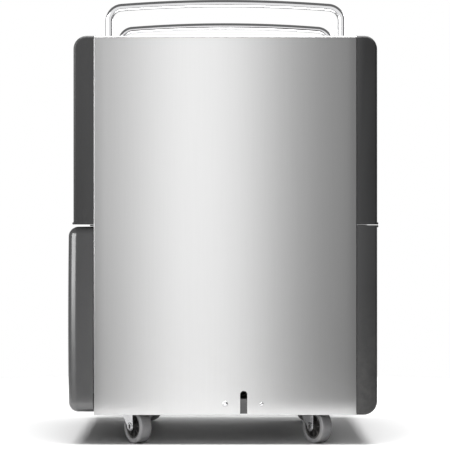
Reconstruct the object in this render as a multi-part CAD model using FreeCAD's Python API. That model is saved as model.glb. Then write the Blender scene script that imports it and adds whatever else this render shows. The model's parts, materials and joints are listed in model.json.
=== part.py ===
import FreeCAD, Part

import math
import os

# A commercial dehumidifier on four castors, in millimetres.
# +Z is up, -Y is the front with the water tank, +X is the side with the drain slot.
# The origin is on the floor, at the middle of the whole machine.

# --- driving dimensions -------------------------------------------------------
WIDTH = 430.0               # over the steel casing
CASING_FRONT = -206.5       # front edge of the steel
CASING_REAR = 213.5         # rear edge of the steel
CASING_BOTTOM = 48.0
CASING_TOP = 655.0
SHEET = 1.0                 # steel sheet
BEND = 4.0                  # outer radius of the casing's bends
TANK_FACE = -249.0          # foremost face
COVER_FACE = -239.5         # front upper cover
REAR_FACE = 247.0           # both rear covers
LIP_REACH = 2.0             # how far the finger lips stand out
LIP_HALF = 209.0            # half length of the finger lips
SPLIT = 352.0               # height where upper and lower panels part
WALL = 2.5                  # moulded wall
GAP = 0.3                   # between pieces that only pass each other

HALF = WIDTH / 2.0
INSIDE = HALF - SHEET       # inner face of the casing's sides
ROOF = CASING_TOP - SHEET   # inner face of the casing's top
PANEL_HALF = HALF - 1.0     # moulded panels stand 1 mm inside the steel

COVER_BOTTOM = SPLIT + 0.8
COVER_CORNER = 21.0         # top edge of both upper covers
TANK_TOP = 349.3
TANK_BOTTOM = 51.8
TANK_CORNER = 16.0
LOWER_CORNER = 22.0         # bottom edge of the rear lower cover
REAR_GAP = 1.0              # between the two rear covers
SEAL_DEPTH = 17.0           # bead that closes the inner half of that gap

PAN_FLOOR = 70.0            # underside of the base pan, where the castors bolt on
PAN_SHEET = 1.5
PAN_LOW = 50.0              # lower edge of the pan's skirt
PAN_RIM = 73.8              # upper edge of the pan's side walls
PAN_HALF = INSIDE - GAP
PAN_TOP = PAN_FLOOR + PAN_SHEET

SLOT_Y = 33.1               # drain slot in each side
SLOT_WIDTH = 11.3
SLOT_TOP = 86.6
SCREW_Y = 3.5
RIVET_Y = 61.6
FIXING_Z = 65.6
SHANK_R = 2.0

HANDLE_X = 175.0
HANDLE_FRONT = -184.7
HANDLE_REAR = 191.9
HANDLE_TOP = 717.0
TUBE_R = 6.0
HANDLE_BEND = 22.0
HANDLE_BOW = 6.5            # rise of the bar from its bends to its middle
HANDLE_FOOT = 638.0

CASTER_X = 170.0
CASTER_FRONT = -148.0
CASTER_REAR = 142.0
TRAIL = 18.0                # from the swivel axis to the axle
WHEEL_R = 27.5
TYRE_WIDTH = 20.0
TYRE_SHOULDER = 2.4
HUB_R = 20.0
AXLE_R = 5.0
RUNNING = 0.05              # radial clearance of a running fit

COIL_HALF = 172.0           # half length of the fin packs
COIL_LOW = 384.0
COIL_HIGH = 624.0
COIL_TUBE_R = 4.75
COIL_ROWS = 2
COIL_PASSES = 8
FIN_COUNT = 36
FIN = 0.8
EVAPORATOR_Y = -177.0
CONDENSER_Y = -131.0

FAN_Z = 505.0
FAN_R = 126.0
SHROUD_Y = -96.0
SHROUD_BORE = 130.0
MOTOR_R = 40.0

GRILLE_HALF = 171.6
GRILLE_LOW = 372.4
GRILLE_HIGH = 571.6

PANEL_LOW = 586.0
PANEL_HIGH = 627.6
PANEL_WIDE = 127.8
BUTTON_R = 8.0
BUTTON_PITCH = 28.0
BUTTON_FIRST = 10.0
BUTTONS = ("button_power", "button_fan", "button_down", "button_up")

BUCKET_HALF = 185.0
BUCKET_FRONT = -222.0
BUCKET_REAR = -60.0
BUCKET_LOW = 80.0
BUCKET_HIGH = 320.0
FLOAT_X = 100.0
FLOAT_PIVOT_Y = -78.0
FLOAT_PIVOT_Z = 296.0

PARTITION_Y = -48.0
SHELF_Z = 351.0
TRAY_LOW = 356.0
SPOUT_Y = -150.0

INLET_LOW = 86.0            # mains inlet with its switch, in a recess of the rear lower cover
INLET_HIGH = 130.0
INLET_LEFT = 98.0
INLET_RIGHT = 172.0
RECESS_FLOOR = 231.0
ROCKER_X = 153.0
ROCKER_Z = 108.0
ROCKER_Y = 225.0
ROCKER_TILT = 8.0

COMPRESSOR_X = -80.0
COMPRESSOR_Y = 70.0
COMPRESSOR_R = 60.0
COMPRESSOR_LOW = 96.0
PIPE_X = -199.0             # refrigerant pipes run beside the coils
PIPE_BEND = 7.0

NIPPLE_R = 4.0
NIPPLE_Z = 80.2
NIPPLE_ROOT = 164.0
NIPPLE_LENGTH = 22.0
HOSE_X = 199.0

X_AXIS = FreeCAD.Vector(1, 0, 0)
Y_AXIS = FreeCAD.Vector(0, 1, 0)
Z_AXIS = FreeCAD.Vector(0, 0, 1)

os.makedirs("parts", exist_ok=True)


# --- small helpers ------------------------------------------------------------
def point(x, y, z):
    return FreeCAD.Vector(x, y, z)


def box(x0, x1, y0, y1, z0, z1):
    """A block between two values on each axis."""
    return Part.makeBox(x1 - x0, y1 - y0, z1 - z0, point(x0, y0, z0))


def rod(start, axis, radius, length):
    """A cylinder from a start point along an axis."""
    return Part.makeCylinder(radius, length, start, axis)


def ring(start, axis, inner, outer, length):
    """A plain tube from a start point along an axis."""
    return rod(start, axis, outer, length).cut(rod(start, axis, inner, length))


def joined(pieces):
    """One solid out of several that touch or overlap."""
    whole = pieces[0].fuse(pieces[1:])
    return whole.removeSplitter()


def rounded(shape, radius, wanted):
    """Fillets the straight edges that the test picks by their middle and direction."""
    chosen = []
    for edge in shape.Edges:
        if not isinstance(edge.Curve, Part.Line):
            continue
        middle = edge.valueAt((edge.FirstParameter + edge.LastParameter) / 2.0)
        if wanted(middle, edge.Curve.Direction):
            chosen.append(edge)
    return shape.makeFillet(radius, chosen)


def near(a, b):
    return abs(a - b) < 0.01


def prism_x(outline, x0, x1):
    """A (y, z) outline carried along X."""
    wire = Part.makePolygon([point(x0, y, z) for y, z in outline + outline[:1]])
    return Part.Face(wire).extrude(point(x1 - x0, 0, 0))


def slanted(a, b, c, trim):
    """The arc of a bend: from a towards b towards c, trim being its tangent length."""
    into = (b - a).normalize()
    away = (c - b).normalize()
    start = b - into * trim
    end = b + away * trim
    turn = into.getAngle(away)
    radius = trim / math.tan(turn / 2.0)
    inward = (away - into).normalize()
    centre = b + inward * (radius / math.cos(turn / 2.0))
    middle = centre - inward * radius
    return start, middle, end


def bent_path(points, radius):
    """Straight runs joined by tangent arcs of one radius."""
    edges = []
    last = points[0]
    for before, corner, after in zip(points, points[1:], points[2:]):
        turn = (corner - before).getAngle(after - corner)
        trim = radius * math.tan(turn / 2.0)
        start, middle, end = slanted(before, corner, after, trim)
        edges.append(Part.makeLine(last, start))
        edges.append(Part.Arc(start, middle, end).toShape())
        last = end
    edges.append(Part.makeLine(last, points[-1]))
    return Part.Wire(edges)


def pipe(points, bend, radius):
    """A solid round bar that follows a bent path."""
    path = bent_path(points, bend)
    direction = points[1] - points[0]
    circle = Part.Wire(Part.makeCircle(radius, points[0], direction))
    return path.makePipeShell([circle], True, False)


def save(name, pieces):
    """Writes one sub-part, which is a solid or a group of separate solids."""
    shape = pieces
    if isinstance(pieces, list):
        shape = Part.makeCompound(pieces)
    for solid in shape.Solids:
        if not solid.isValid():
            print("NOT VALID", name)
    volume = shape.Volume / 1000.0
    print("%-20s %2d solids %9.1f cm3" % (name, len(shape.Solids), volume))
    shape.exportStep("parts/" + name + ".step")


# --- casing and base ------------------------------------------------------------
def steel_casing():
    """One sheet folded over the machine: side, top, side."""
    outer = box(-HALF, HALF, CASING_FRONT, CASING_REAR, CASING_BOTTOM, CASING_TOP)
    outer = rounded(outer, BEND, lambda m, d: near(abs(d.y), 1) and near(m.z, CASING_TOP))
    inner = box(-INSIDE, INSIDE, CASING_FRONT - 1, CASING_REAR + 1, CASING_BOTTOM - 1, ROOF)
    inner = rounded(inner, BEND - SHEET, lambda m, d: near(abs(d.y), 1) and near(m.z, ROOF))
    sheet = outer.cut(inner)
    cuts = []
    for side in (-1, 1):
        start = side * (HALF + 1)
        cuts.append(box(min(start, side * (INSIDE - 1)), max(start, side * (INSIDE - 1)),
                        SLOT_Y - SLOT_WIDTH / 2, SLOT_Y + SLOT_WIDTH / 2,
                        CASING_BOTTOM - 1, SLOT_TOP - SLOT_WIDTH / 2))
        cuts.append(rod(point(start, SLOT_Y, SLOT_TOP - SLOT_WIDTH / 2), X_AXIS * -side,
                        SLOT_WIDTH / 2, SHEET + 2))
        for y in (SCREW_Y, RIVET_Y):
            cuts.append(rod(point(start, y, FIXING_Z), X_AXIS * -side, SHANK_R + 0.1, SHEET + 2))
        for y in (HANDLE_FRONT, HANDLE_REAR):
            cuts.append(rod(point(side * HANDLE_X, y, ROOF - 1), Z_AXIS, TUBE_R + GAP, SHEET + 2))
    return sheet.cut(cuts)


def base_pan():
    """A pressed pan: a floor inside a rim that stands both above and below it."""
    front = CASING_FRONT + 1.5
    rear = CASING_REAR - 1.5
    walls = box(-PAN_HALF, PAN_HALF, front, rear, PAN_LOW, PAN_RIM)
    hollow = box(-PAN_HALF + PAN_SHEET, PAN_HALF - PAN_SHEET,
                 front + PAN_SHEET, rear - PAN_SHEET, PAN_LOW - 1, PAN_RIM + 1)
    floor = box(-PAN_HALF + 0.5, PAN_HALF - 0.5, front + 0.5, rear - 0.5, PAN_FLOOR, PAN_TOP)
    pieces = [walls.cut(hollow), floor]
    for x in (-120.0, 120.0):
        pieces.append(box(x - 12, x + 12, -195.0, -62.0, PAN_TOP - 0.5, BUCKET_LOW - GAP))
    pan = joined(pieces)
    cuts = []
    for side in (-1, 1):
        for y in (SCREW_Y, RIVET_Y):
            cuts.append(rod(point(side * (HALF + 1), y, FIXING_Z), X_AXIS * -side,
                            SHANK_R + 0.1, 6))
    for x, y in caster_places():
        for bolt in bolt_places(x, y):
            cuts.append(rod(point(bolt.x, bolt.y, PAN_FLOOR - 1), Z_AXIS, 2.6, PAN_SHEET + 2))
    return pan.cut(cuts)


def casing_screws():
    """Pan-head cross-recess screws, one low on each side."""
    screws = []
    for side in (-1, 1):
        face = point(side * HALF, SCREW_Y, FIXING_Z)
        out = X_AXIS * side
        head = rod(face, out, 4.5, 1.6)
        head = head.fuse(rod(face - out * 6, out, SHANK_R, 6.5))
        for size in ((0.5, 2.6), (2.6, 0.5)):
            cut = Part.makeBox(2.0, size[0] * 2, size[1] * 2,
                               point(-1.0, SCREW_Y - size[0], FIXING_Z - size[1]))
            cut.translate(out * (HALF + 1.5))
            head = head.cut(cut)
        screws.append(head.removeSplitter())
    return screws


def casing_rivets():
    """Blind rivets with a domed rim and a sunk mandrel hole."""
    rivets = []
    for side in (-1, 1):
        face = point(side * HALF, RIVET_Y, FIXING_Z)
        out = X_AXIS * side
        head = rod(face, out, 3.2, 1.0).fuse(rod(face - out * 5, out, SHANK_R, 5.5))
        rivets.append(head.cut(rod(face - out * 0.5, out, 1.1, 2)).removeSplitter())
    return rivets


def front_frame():
    """The frame behind the front panels, with the tank bay below and the coil face above."""
    rear = -199.0
    front = -206.2
    frame = box(-213.5, 213.5, front, rear, PAN_RIM + 0.7, ROOF - 0.5)
    frame = rounded(frame, 4.0, lambda m, d: near(abs(d.y), 1) and near(m.z, ROOF - 0.5))
    frame = frame.cut([
        box(-200, 200, front - 1, rear + 1, PAN_RIM, 336),
        box(-170, 170, front - 1, rear + 1, 378, 604),
    ])
    divider = box(-212, 212, -213.0, front + 0.5, TANK_TOP + 0.7, COVER_BOTTOM - 0.5)
    return joined([frame, divider])


# --- moulded covers -------------------------------------------------------------
def upper_shell(face, back):
    """An upper cover open at its back, with its long top edge rounded."""
    low, high = min(face, back), max(face, back)
    outward = -1 if face < back else 1
    outer = box(-PANEL_HALF, PANEL_HALF, low, high, COVER_BOTTOM, CASING_TOP)
    outer = rounded(outer, COVER_CORNER,
                    lambda m, d: near(m.y, face) and near(m.z, CASING_TOP))
    outer = rounded(outer, 4.0, lambda m, d: near(m.y, face) and near(abs(d.z), 1))
    cavity = box(-PANEL_HALF + WALL, PANEL_HALF - WALL,
                 low + (WALL if outward < 0 else -1), high - (WALL if outward > 0 else -1),
                 COVER_BOTTOM + WALL, CASING_TOP - WALL)
    inner_face = face - outward * WALL
    cavity = rounded(cavity, COVER_CORNER - WALL,
                     lambda m, d: near(m.y, inner_face) and near(m.z, CASING_TOP - WALL))
    return outer.cut(cavity)


def front_cover():
    shell = upper_shell(COVER_FACE, CASING_FRONT - GAP)
    openings = [
        box(-GRILLE_HALF - 0.4, GRILLE_HALF + 0.4, COVER_FACE - 1, COVER_FACE + WALL + 1,
            GRILLE_LOW - 0.4, GRILLE_HIGH + 0.4),
        box(-PANEL_WIDE - 0.2, PANEL_WIDE + 0.2, COVER_FACE - 1, COVER_FACE + WALL + 1,
            PANEL_LOW - 0.2, PANEL_HIGH + 0.2),
    ]
    lip = box(-LIP_HALF, LIP_HALF, COVER_FACE - LIP_REACH, COVER_FACE + 1, COVER_BOTTOM, COVER_BOTTOM + 3.5)
    lip = rounded(lip, 1.2, lambda m, d: near(m.y, COVER_FACE - LIP_REACH) and abs(d.x) > 0.9)
    return joined([shell.cut(openings), lip])


def rear_upper_cover():
    """The outlet: a window filled with slanted slats that throw the air upwards."""
    shell = upper_shell(REAR_FACE, CASING_REAR + GAP)
    low, high, half = 385.0, 610.0, 165.0
    shell = shell.cut(box(-half, half, REAR_FACE - WALL - 1, REAR_FACE + 1, low, high))
    pieces = [shell]
    count = 14
    pitch = (high - low) / count
    for k in range(count):
        z = low + (k + 0.15) * pitch
        outline = [(REAR_FACE - 10, z), (REAR_FACE, z + 5.5), (REAR_FACE, z + 8), (REAR_FACE - 10, z + 2.5)]
        pieces.append(prism_x(outline, -half - 1, half + 1))
    for x in (-82.5, 0.0, 82.5):
        pieces.append(box(x - 1.5, x + 1.5, REAR_FACE - 12, REAR_FACE - 7, low - 1, high + 1))
    lip = box(-LIP_HALF, LIP_HALF, REAR_FACE - 1, REAR_FACE + LIP_REACH, COVER_BOTTOM, COVER_BOTTOM + 3.5)
    pieces.append(rounded(lip, 1.2, lambda m, d: near(m.y, REAR_FACE + LIP_REACH) and abs(d.x) > 0.9))
    return joined(pieces)


def rear_lower_cover():
    """The service cover, with a recess for the mains inlet."""
    top = COVER_BOTTOM - REAR_GAP
    back = CASING_REAR + GAP
    outer = box(-PANEL_HALF, PANEL_HALF, back, REAR_FACE, CASING_BOTTOM, top)
    outer = rounded(outer, LOWER_CORNER,
                    lambda m, d: near(m.y, REAR_FACE) and near(m.z, CASING_BOTTOM))
    outer = rounded(outer, 4.0, lambda m, d: near(m.y, REAR_FACE) and near(abs(d.z), 1))
    cavity = box(-PANEL_HALF + WALL, PANEL_HALF - WALL, back - 1, REAR_FACE - WALL,
                 CASING_BOTTOM + WALL, top - WALL)
    cavity = rounded(cavity, LOWER_CORNER - WALL,
                     lambda m, d: near(m.y, REAR_FACE - WALL) and near(m.z, CASING_BOTTOM + WALL))
    shell = outer.cut(cavity)
    margin = 8.0
    pocket = box(INLET_LEFT - margin - WALL, INLET_RIGHT + margin + WALL,
                 RECESS_FLOOR - WALL, REAR_FACE - 0.5,
                 INLET_LOW - margin - WALL, INLET_HIGH + margin + WALL)
    lip = box(-LIP_HALF, LIP_HALF, REAR_FACE - 1, REAR_FACE + LIP_REACH, top - 3.5, top)
    lip = rounded(lip, 1.2, lambda m, d: near(m.y, REAR_FACE + LIP_REACH) and abs(d.x) > 0.9)
    bead = box(-PANEL_HALF + 3, PANEL_HALF - 3, back, back + SEAL_DEPTH, top - 1, COVER_BOTTOM - GAP)
    cover = joined([shell, pocket, lip, bead])
    return cover.cut([
        box(INLET_LEFT - margin, INLET_RIGHT + margin, RECESS_FLOOR, REAR_FACE + 1,
            INLET_LOW - margin, INLET_HIGH + margin),
        box(INLET_LEFT + 3.8, INLET_RIGHT - 3.8, RECESS_FLOOR - WALL - 1, RECESS_FLOOR + 1,
            INLET_LOW + 3.8, INLET_HIGH - 3.8),
    ])


def intake_grille():
    """A frame of slanted slats that unclips from the front cover."""
    front = COVER_FACE
    back = front + 12.0
    outer = box(-GRILLE_HALF, GRILLE_HALF, front, back, GRILLE_LOW, GRILLE_HIGH)
    border = 9.0
    hollow = box(-GRILLE_HALF + border, GRILLE_HALF - border, front - 1, back + 1,
                 GRILLE_LOW + border, GRILLE_HIGH - border)
    pieces = [outer.cut(hollow)]
    count = 13
    pitch = (GRILLE_HIGH - GRILLE_LOW - 2 * border) / count
    for k in range(count):
        z = GRILLE_LOW + border + (k + 0.25) * pitch
        outline = [(front, z), (back - 2, z + 5), (back - 2, z + 7.2), (front, z + 2.2)]
        pieces.append(prism_x(outline, -GRILLE_HALF + border - 1, GRILLE_HALF - border + 1))
    for x in (-81.0, 0.0, 81.0):
        pieces.append(box(x - 1.5, x + 1.5, front + 5, back, GRILLE_LOW + border - 1,
                          GRILLE_HIGH - border + 1))
    return joined(pieces)


def air_filter():
    """A framed filter sheet that clips to the back of the grille."""
    front = COVER_FACE + 12.0
    back = front + 7.0
    half = GRILLE_HALF - 3.0
    low, high = GRILLE_LOW + 3.0, GRILLE_HIGH - 3.0
    border = 8.0
    frame = box(-half, half, front, back, low, high)
    frame = frame.cut(box(-half + border, half - border, front - 1, back + 1, low + border, high - border))
    sheet = box(-half + border - 1, half - border + 1, front + 3, front + 4,
                low + border - 1, high - border + 1)
    pieces = [frame, sheet]
    for x in (-half / 3.0, half / 3.0):
        pieces.append(box(x - 1.5, x + 1.5, front + 1.5, back - 1, low + border - 1, high - border + 1))
    return joined(pieces)


# --- controls -------------------------------------------------------------------
def button_places():
    middle = (PANEL_LOW + PANEL_HIGH) / 2.0
    return [(BUTTON_FIRST + k * BUTTON_PITCH, middle) for k in range(len(BUTTONS))]


def control_panel():
    """A thin fascia with a flange behind the cover and four posts for its board."""
    face = COVER_FACE - 0.2
    seat = COVER_FACE + WALL + 0.2
    plate = box(-PANEL_WIDE, PANEL_WIDE, face, seat + 0.5, PANEL_LOW, PANEL_HIGH)
    flange = box(-PANEL_WIDE - 5, PANEL_WIDE + 5, seat, seat + 1.5, PANEL_LOW - 5, PANEL_HIGH + 5)
    pieces = [plate, flange]
    for x in (-PANEL_WIDE + 6, PANEL_WIDE - 6):
        for z in (PANEL_LOW + 5, PANEL_HIGH - 5):
            pieces.append(rod(point(x, seat + 1, z), Y_AXIS, 3.0, 7.8))
    panel = joined(pieces)
    cuts = [box(-110, -40, face - 1, face + 2.0, PANEL_LOW + 7, PANEL_HIGH - 7)]
    for x, z in button_places():
        cuts.append(rod(point(x, face - 1, z), Y_AXIS, BUTTON_R + GAP, 8))
    return panel.cut(cuts)


def display_window():
    """The smoked window that fills the panel's shallow recess."""
    face = COVER_FACE - 0.2
    return box(-110, -40, face, face + 2.0, PANEL_LOW + 7, PANEL_HIGH - 7)


def push_button(x, z):
    """A round cap with a dished face and a retaining flange."""
    front = COVER_FACE - 0.8
    cap = rod(point(x, front, z), Y_AXIS, BUTTON_R, 6.5)
    flange = rod(point(x, front + 5.5, z), Y_AXIS, BUTTON_R + 1.5, 1.5)
    dish = Part.makeSphere(40.0, point(x, front - 39.4, z))
    return joined([cap, flange]).cut(dish)


def control_board():
    """The printed board, with a switch under each button and two blocks behind the display."""
    front = COVER_FACE + WALL + 0.2 + 8.8
    pieces = [box(-PANEL_WIDE + 1, PANEL_WIDE - 1, front, front + 1.6, PANEL_LOW + 1, PANEL_HIGH - 1)]
    for x, z in button_places():
        pieces.append(rod(point(x, front - 2.6, z), Y_AXIS, 3.0, 3.0))
    pieces.append(box(-105, -45, front - 5, front + 0.5, PANEL_LOW + 10, PANEL_HIGH - 10))
    pieces.append(box(-20, 40, front + 1.2, front + 9, PANEL_LOW + 8, PANEL_HIGH - 8))
    return joined(pieces)


def power_inlet():
    """A flanged mains inlet with three pins, and beside it a frame for the rocker switch."""
    flange = box(INLET_LEFT, INLET_RIGHT, RECESS_FLOOR, RECESS_FLOOR + 2, INLET_LOW, INLET_HIGH)
    body = box(INLET_LEFT + 4, INLET_RIGHT - 4, RECESS_FLOOR - 25, RECESS_FLOOR + 1,
               INLET_LOW + 4, INLET_HIGH - 4)
    block = joined([flange, body])
    face = RECESS_FLOOR + 3
    socket = box(106, 130, face - 17, face, ROCKER_Z - 8.3, ROCKER_Z + 8.3)
    socket = rounded(socket, 4.0, lambda m, d: near(abs(d.y), 1) and m.z > ROCKER_Z)
    well = box(ROCKER_X - 11.3, ROCKER_X + 11.3, ROCKER_Y - 6, face, ROCKER_Z - 12, ROCKER_Z + 12)
    trunnions = rod(point(ROCKER_X - 14, ROCKER_Y, ROCKER_Z), X_AXIS, 1.5 + RUNNING, 28)
    parting = box(134.8, 135, RECESS_FLOOR - 26, RECESS_FLOOR + 3, INLET_LOW - 1, INLET_HIGH + 1)
    mouldings = block.cut([socket, well, trunnions, parting]).Solids
    pins = [box(x - 1, x + 1, face - 17, face - 5, ROCKER_Z + low, ROCKER_Z + low + 4)
            for x, low in ((113.0, -5.0), (123.0, -5.0), (118.0, 1.0))]
    return mouldings + pins


def power_rocker():
    """A V-faced rocker on two round trunnions, stored with its lower half pressed."""
    outline = [(ROCKER_Y - 3, ROCKER_Z - 9), (ROCKER_Y - 3, ROCKER_Z + 9),
               (ROCKER_Y + 7, ROCKER_Z + 10.4), (ROCKER_Y + 9, ROCKER_Z + 10.4),
               (ROCKER_Y + 7.6, ROCKER_Z), (ROCKER_Y + 9, ROCKER_Z - 10.4),
               (ROCKER_Y + 7, ROCKER_Z - 10.4)]
    cap = prism_x(outline, ROCKER_X - 11, ROCKER_X + 11)
    axle = rod(point(ROCKER_X - 13.6, ROCKER_Y, ROCKER_Z), X_AXIS, 1.5, 27.2)
    rocker = joined([cap, axle])
    rocker.rotate(point(ROCKER_X, ROCKER_Y, ROCKER_Z), X_AXIS, -ROCKER_TILT)
    return rocker


# --- water tank -----------------------------------------------------------------
def tank_front():
    """The tank's face: a hollow moulding with a finger grip and four bosses behind it."""
    back = CASING_FRONT - 1.5
    outer = box(-PANEL_HALF, PANEL_HALF, TANK_FACE, back, TANK_BOTTOM, TANK_TOP)
    outer = rounded(outer, TANK_CORNER, lambda m, d: near(m.y, TANK_FACE) or near(abs(d.y), 1))
    cavity = box(-PANEL_HALF + WALL, PANEL_HALF - WALL, TANK_FACE + WALL, back + 1,
                 TANK_BOTTOM + WALL, TANK_TOP - WALL)
    cavity = rounded(cavity, TANK_CORNER - WALL,
                     lambda m, d: near(m.y, TANK_FACE + WALL) or near(abs(d.y), 1))
    grip_low, grip_high, grip_half, grip_back = 272.0, 304.0, 62.0, -227.0
    pieces = [outer.cut(cavity)]
    pieces.append(box(-grip_half - WALL, grip_half + WALL, TANK_FACE + 1, grip_back + WALL,
                      grip_low - WALL, grip_high + WALL))
    for x in (-150.0, 150.0):
        for z in (110.0, 290.0):
            pieces.append(rod(point(x, TANK_FACE + 1, z), Y_AXIS, 7.0, BUCKET_FRONT - TANK_FACE - 1))
    grip = box(-grip_half, grip_half, TANK_FACE - 1, grip_back, grip_low, grip_high)
    grip = rounded(grip, 10.0, lambda m, d: near(abs(d.y), 1))
    return joined(pieces).cut(grip)


def tank_bucket():
    """An open bucket with a rolled rim and two ears that carry the float."""
    outer = box(-BUCKET_HALF, BUCKET_HALF, BUCKET_FRONT, BUCKET_REAR, BUCKET_LOW, BUCKET_HIGH)
    upright = lambda m, d: near(abs(d.z), 1)
    outer = rounded(outer, 14.0, upright)
    inner = box(-BUCKET_HALF + WALL, BUCKET_HALF - WALL, BUCKET_FRONT + WALL, BUCKET_REAR - WALL,
                BUCKET_LOW + WALL, BUCKET_HIGH + 1)
    inner = rounded(inner, 14.0 - WALL, upright)
    pieces = [outer.cut(inner)]
    for side in (-1, 1):
        x = FLOAT_X + side * 14.0
        ear = box(x - 1.5, x + 1.5, FLOAT_PIVOT_Y - 6, BUCKET_REAR - 1,
                  FLOAT_PIVOT_Z - 6, FLOAT_PIVOT_Z + 6)
        pieces.append(ear)
    bucket = joined(pieces)
    return bucket.cut(rod(point(FLOAT_X - 17, FLOAT_PIVOT_Y, FLOAT_PIVOT_Z), X_AXIS,
                          2.5 + RUNNING, 34))


def tank_lid():
    """A clip-on lid with a turned-down edge and a round filling hole under the spout."""
    lid = box(-BUCKET_HALF - 3, BUCKET_HALF + 3, BUCKET_FRONT - 3, BUCKET_REAR + 3,
              BUCKET_HIGH - 8, BUCKET_HIGH + 2.5)
    lid = rounded(lid, 17.0, lambda m, d: near(abs(d.z), 1))
    under = box(-BUCKET_HALF - 0.3, BUCKET_HALF + 0.3, BUCKET_FRONT - 0.3, BUCKET_REAR + 0.3,
                BUCKET_HIGH - 9, BUCKET_HIGH)
    under = rounded(under, 14.3, lambda m, d: near(abs(d.z), 1))
    hole = rod(point(0, SPOUT_Y, BUCKET_HIGH - 9), Z_AXIS, 22.0, 20)
    return lid.cut([under, hole])


def tank_float():
    """A hollow float on an arm, hanging at its lower stop in an empty tank."""
    pin = rod(point(FLOAT_X - 15.4, FLOAT_PIVOT_Y, FLOAT_PIVOT_Z), X_AXIS, 2.5, 30.8)
    eye = rod(point(FLOAT_X - 8, FLOAT_PIVOT_Y, FLOAT_PIVOT_Z), X_AXIS, 5.0, 16)
    arm = box(FLOAT_X - 5, FLOAT_X + 5, FLOAT_PIVOT_Y - 46, FLOAT_PIVOT_Y,
              FLOAT_PIVOT_Z - 2, FLOAT_PIVOT_Z + 2)
    bob = box(FLOAT_X - 22, FLOAT_X + 22, FLOAT_PIVOT_Y - 80, FLOAT_PIVOT_Y - 40,
              FLOAT_PIVOT_Z - 12, FLOAT_PIVOT_Z + 8)
    bob = rounded(bob, 5.0, lambda m, d: near(abs(d.z), 1))
    float_piece = joined([pin, eye, arm, bob])
    float_piece.rotate(point(FLOAT_X, FLOAT_PIVOT_Y, FLOAT_PIVOT_Z), X_AXIS, 22.0)
    return float_piece


def float_switch():
    """A reed switch on the partition, level with the float's pivot."""
    body = box(FLOAT_X - 9, FLOAT_X + 9, BUCKET_REAR + 4.5, PARTITION_Y, FLOAT_PIVOT_Z - 16,
               FLOAT_PIVOT_Z + 12)
    return rounded(body, 2.0, lambda m, d: near(abs(d.y), 1))


# --- air path -------------------------------------------------------------------
def coil_heights():
    pitch = (COIL_HIGH - COIL_LOW) / COIL_PASSES
    return [COIL_LOW + (k + 0.5) * pitch for k in range(COIL_PASSES)]


def coil_places(middle):
    """Tube centres of a coil as (y, z): up one row and down the other."""
    places = []
    for row in range(COIL_ROWS):
        y = middle + (row - 0.5) * 20.0
        heights = coil_heights()
        if row % 2:
            heights.reverse()
        places.extend((y, z) for z in heights)
    return places


def coil_fins(middle):
    """Thin plates side by side, each pierced by every tube, between two end plates."""
    depth = 19.0
    plate = box(0, FIN, middle - depth, middle + depth, COIL_LOW, COIL_HIGH)
    holes = [rod(point(-1, y, z), X_AXIS, COIL_TUBE_R + 0.1, FIN + 2) for y, z in coil_places(middle)]
    plate = plate.cut(holes)
    fins = []
    for k in range(FIN_COUNT):
        fin = plate.copy()
        fin.translate(point(-COIL_HALF + k * (2 * COIL_HALF - FIN) / (FIN_COUNT - 1), 0, 0))
        fins.append(fin)
    return fins


def coil_tubes(middle):
    """One serpentine tube: straight passes joined by return bends at alternate ends."""
    reach = COIL_HALF + 6.0
    pieces = []
    places = coil_places(middle)
    for index, (y, z) in enumerate(places):
        first = index == 0
        last = index == len(places) - 1
        start = -reach - (10.0 if first or last else 0.0)
        pieces.append(rod(point(start, y, z), X_AXIS, COIL_TUBE_R, reach - start))
        if last:
            continue
        next_y, next_z = places[index + 1]
        side = 1 if index % 2 == 0 else -1
        pieces.append(return_bend(point(side * reach, y, z), point(side * reach, next_y, next_z), side))
    return joined(pieces)


def return_bend(a, b, side):
    """Half a ring that joins two tube ends."""
    centre = (a + b) * 0.5
    span = b - a
    turn_axis = (X_AXIS * side).cross(span)
    circle = Part.Wire(Part.makeCircle(COIL_TUBE_R, a, X_AXIS * side))
    return Part.Face(circle).revolve(centre, turn_axis, 180)


def drip_tray():
    """A shallow tray under both coils, with a spout over the tank and a rear drain stub."""
    front, back, half = -198.0, -100.0, 206.0
    high = TRAY_LOW + 22.0
    tray = box(-half, half, front, back, TRAY_LOW, high)
    tray = tray.cut(box(-half + 2, half - 2, front + 2, back - 2, TRAY_LOW + 2, high + 1))
    spout = rod(point(0, SPOUT_Y, TRAY_LOW - 24), Z_AXIS, 9.0, 25)
    stub = rod(point(HOSE_X, back - 8, TRAY_LOW - 12), Z_AXIS, 4.0, 13)
    body = joined([tray, spout, stub])
    return body.cut([
        rod(point(0, SPOUT_Y, TRAY_LOW - 25), Z_AXIS, 7.0, 30),
        rod(point(HOSE_X, back - 8, TRAY_LOW - 13), Z_AXIS, 2.5, 20),
    ])


def inner_partition():
    """The wall behind the tank and the shelf that parts the air path from the machinery."""
    wall = box(-208, 208, PARTITION_Y, PARTITION_Y + 1.5, PAN_TOP, SHELF_Z + 1)
    shelf = box(-150, 208, -98.0, 205.0, SHELF_Z, SHELF_Z + 1.5)
    foot = box(-208, 208, PARTITION_Y, PARTITION_Y + 14, PAN_TOP, PAN_TOP + 1.5)
    side = box(206.5, 208, -98.0, 205.0, SHELF_Z, SHELF_Z + 14)
    partition = joined([wall, shelf, foot, side])
    return partition.cut(rod(point(HOSE_X, PARTITION_Y - 1, 222.0), Y_AXIS, 7.2, 4))


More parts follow.
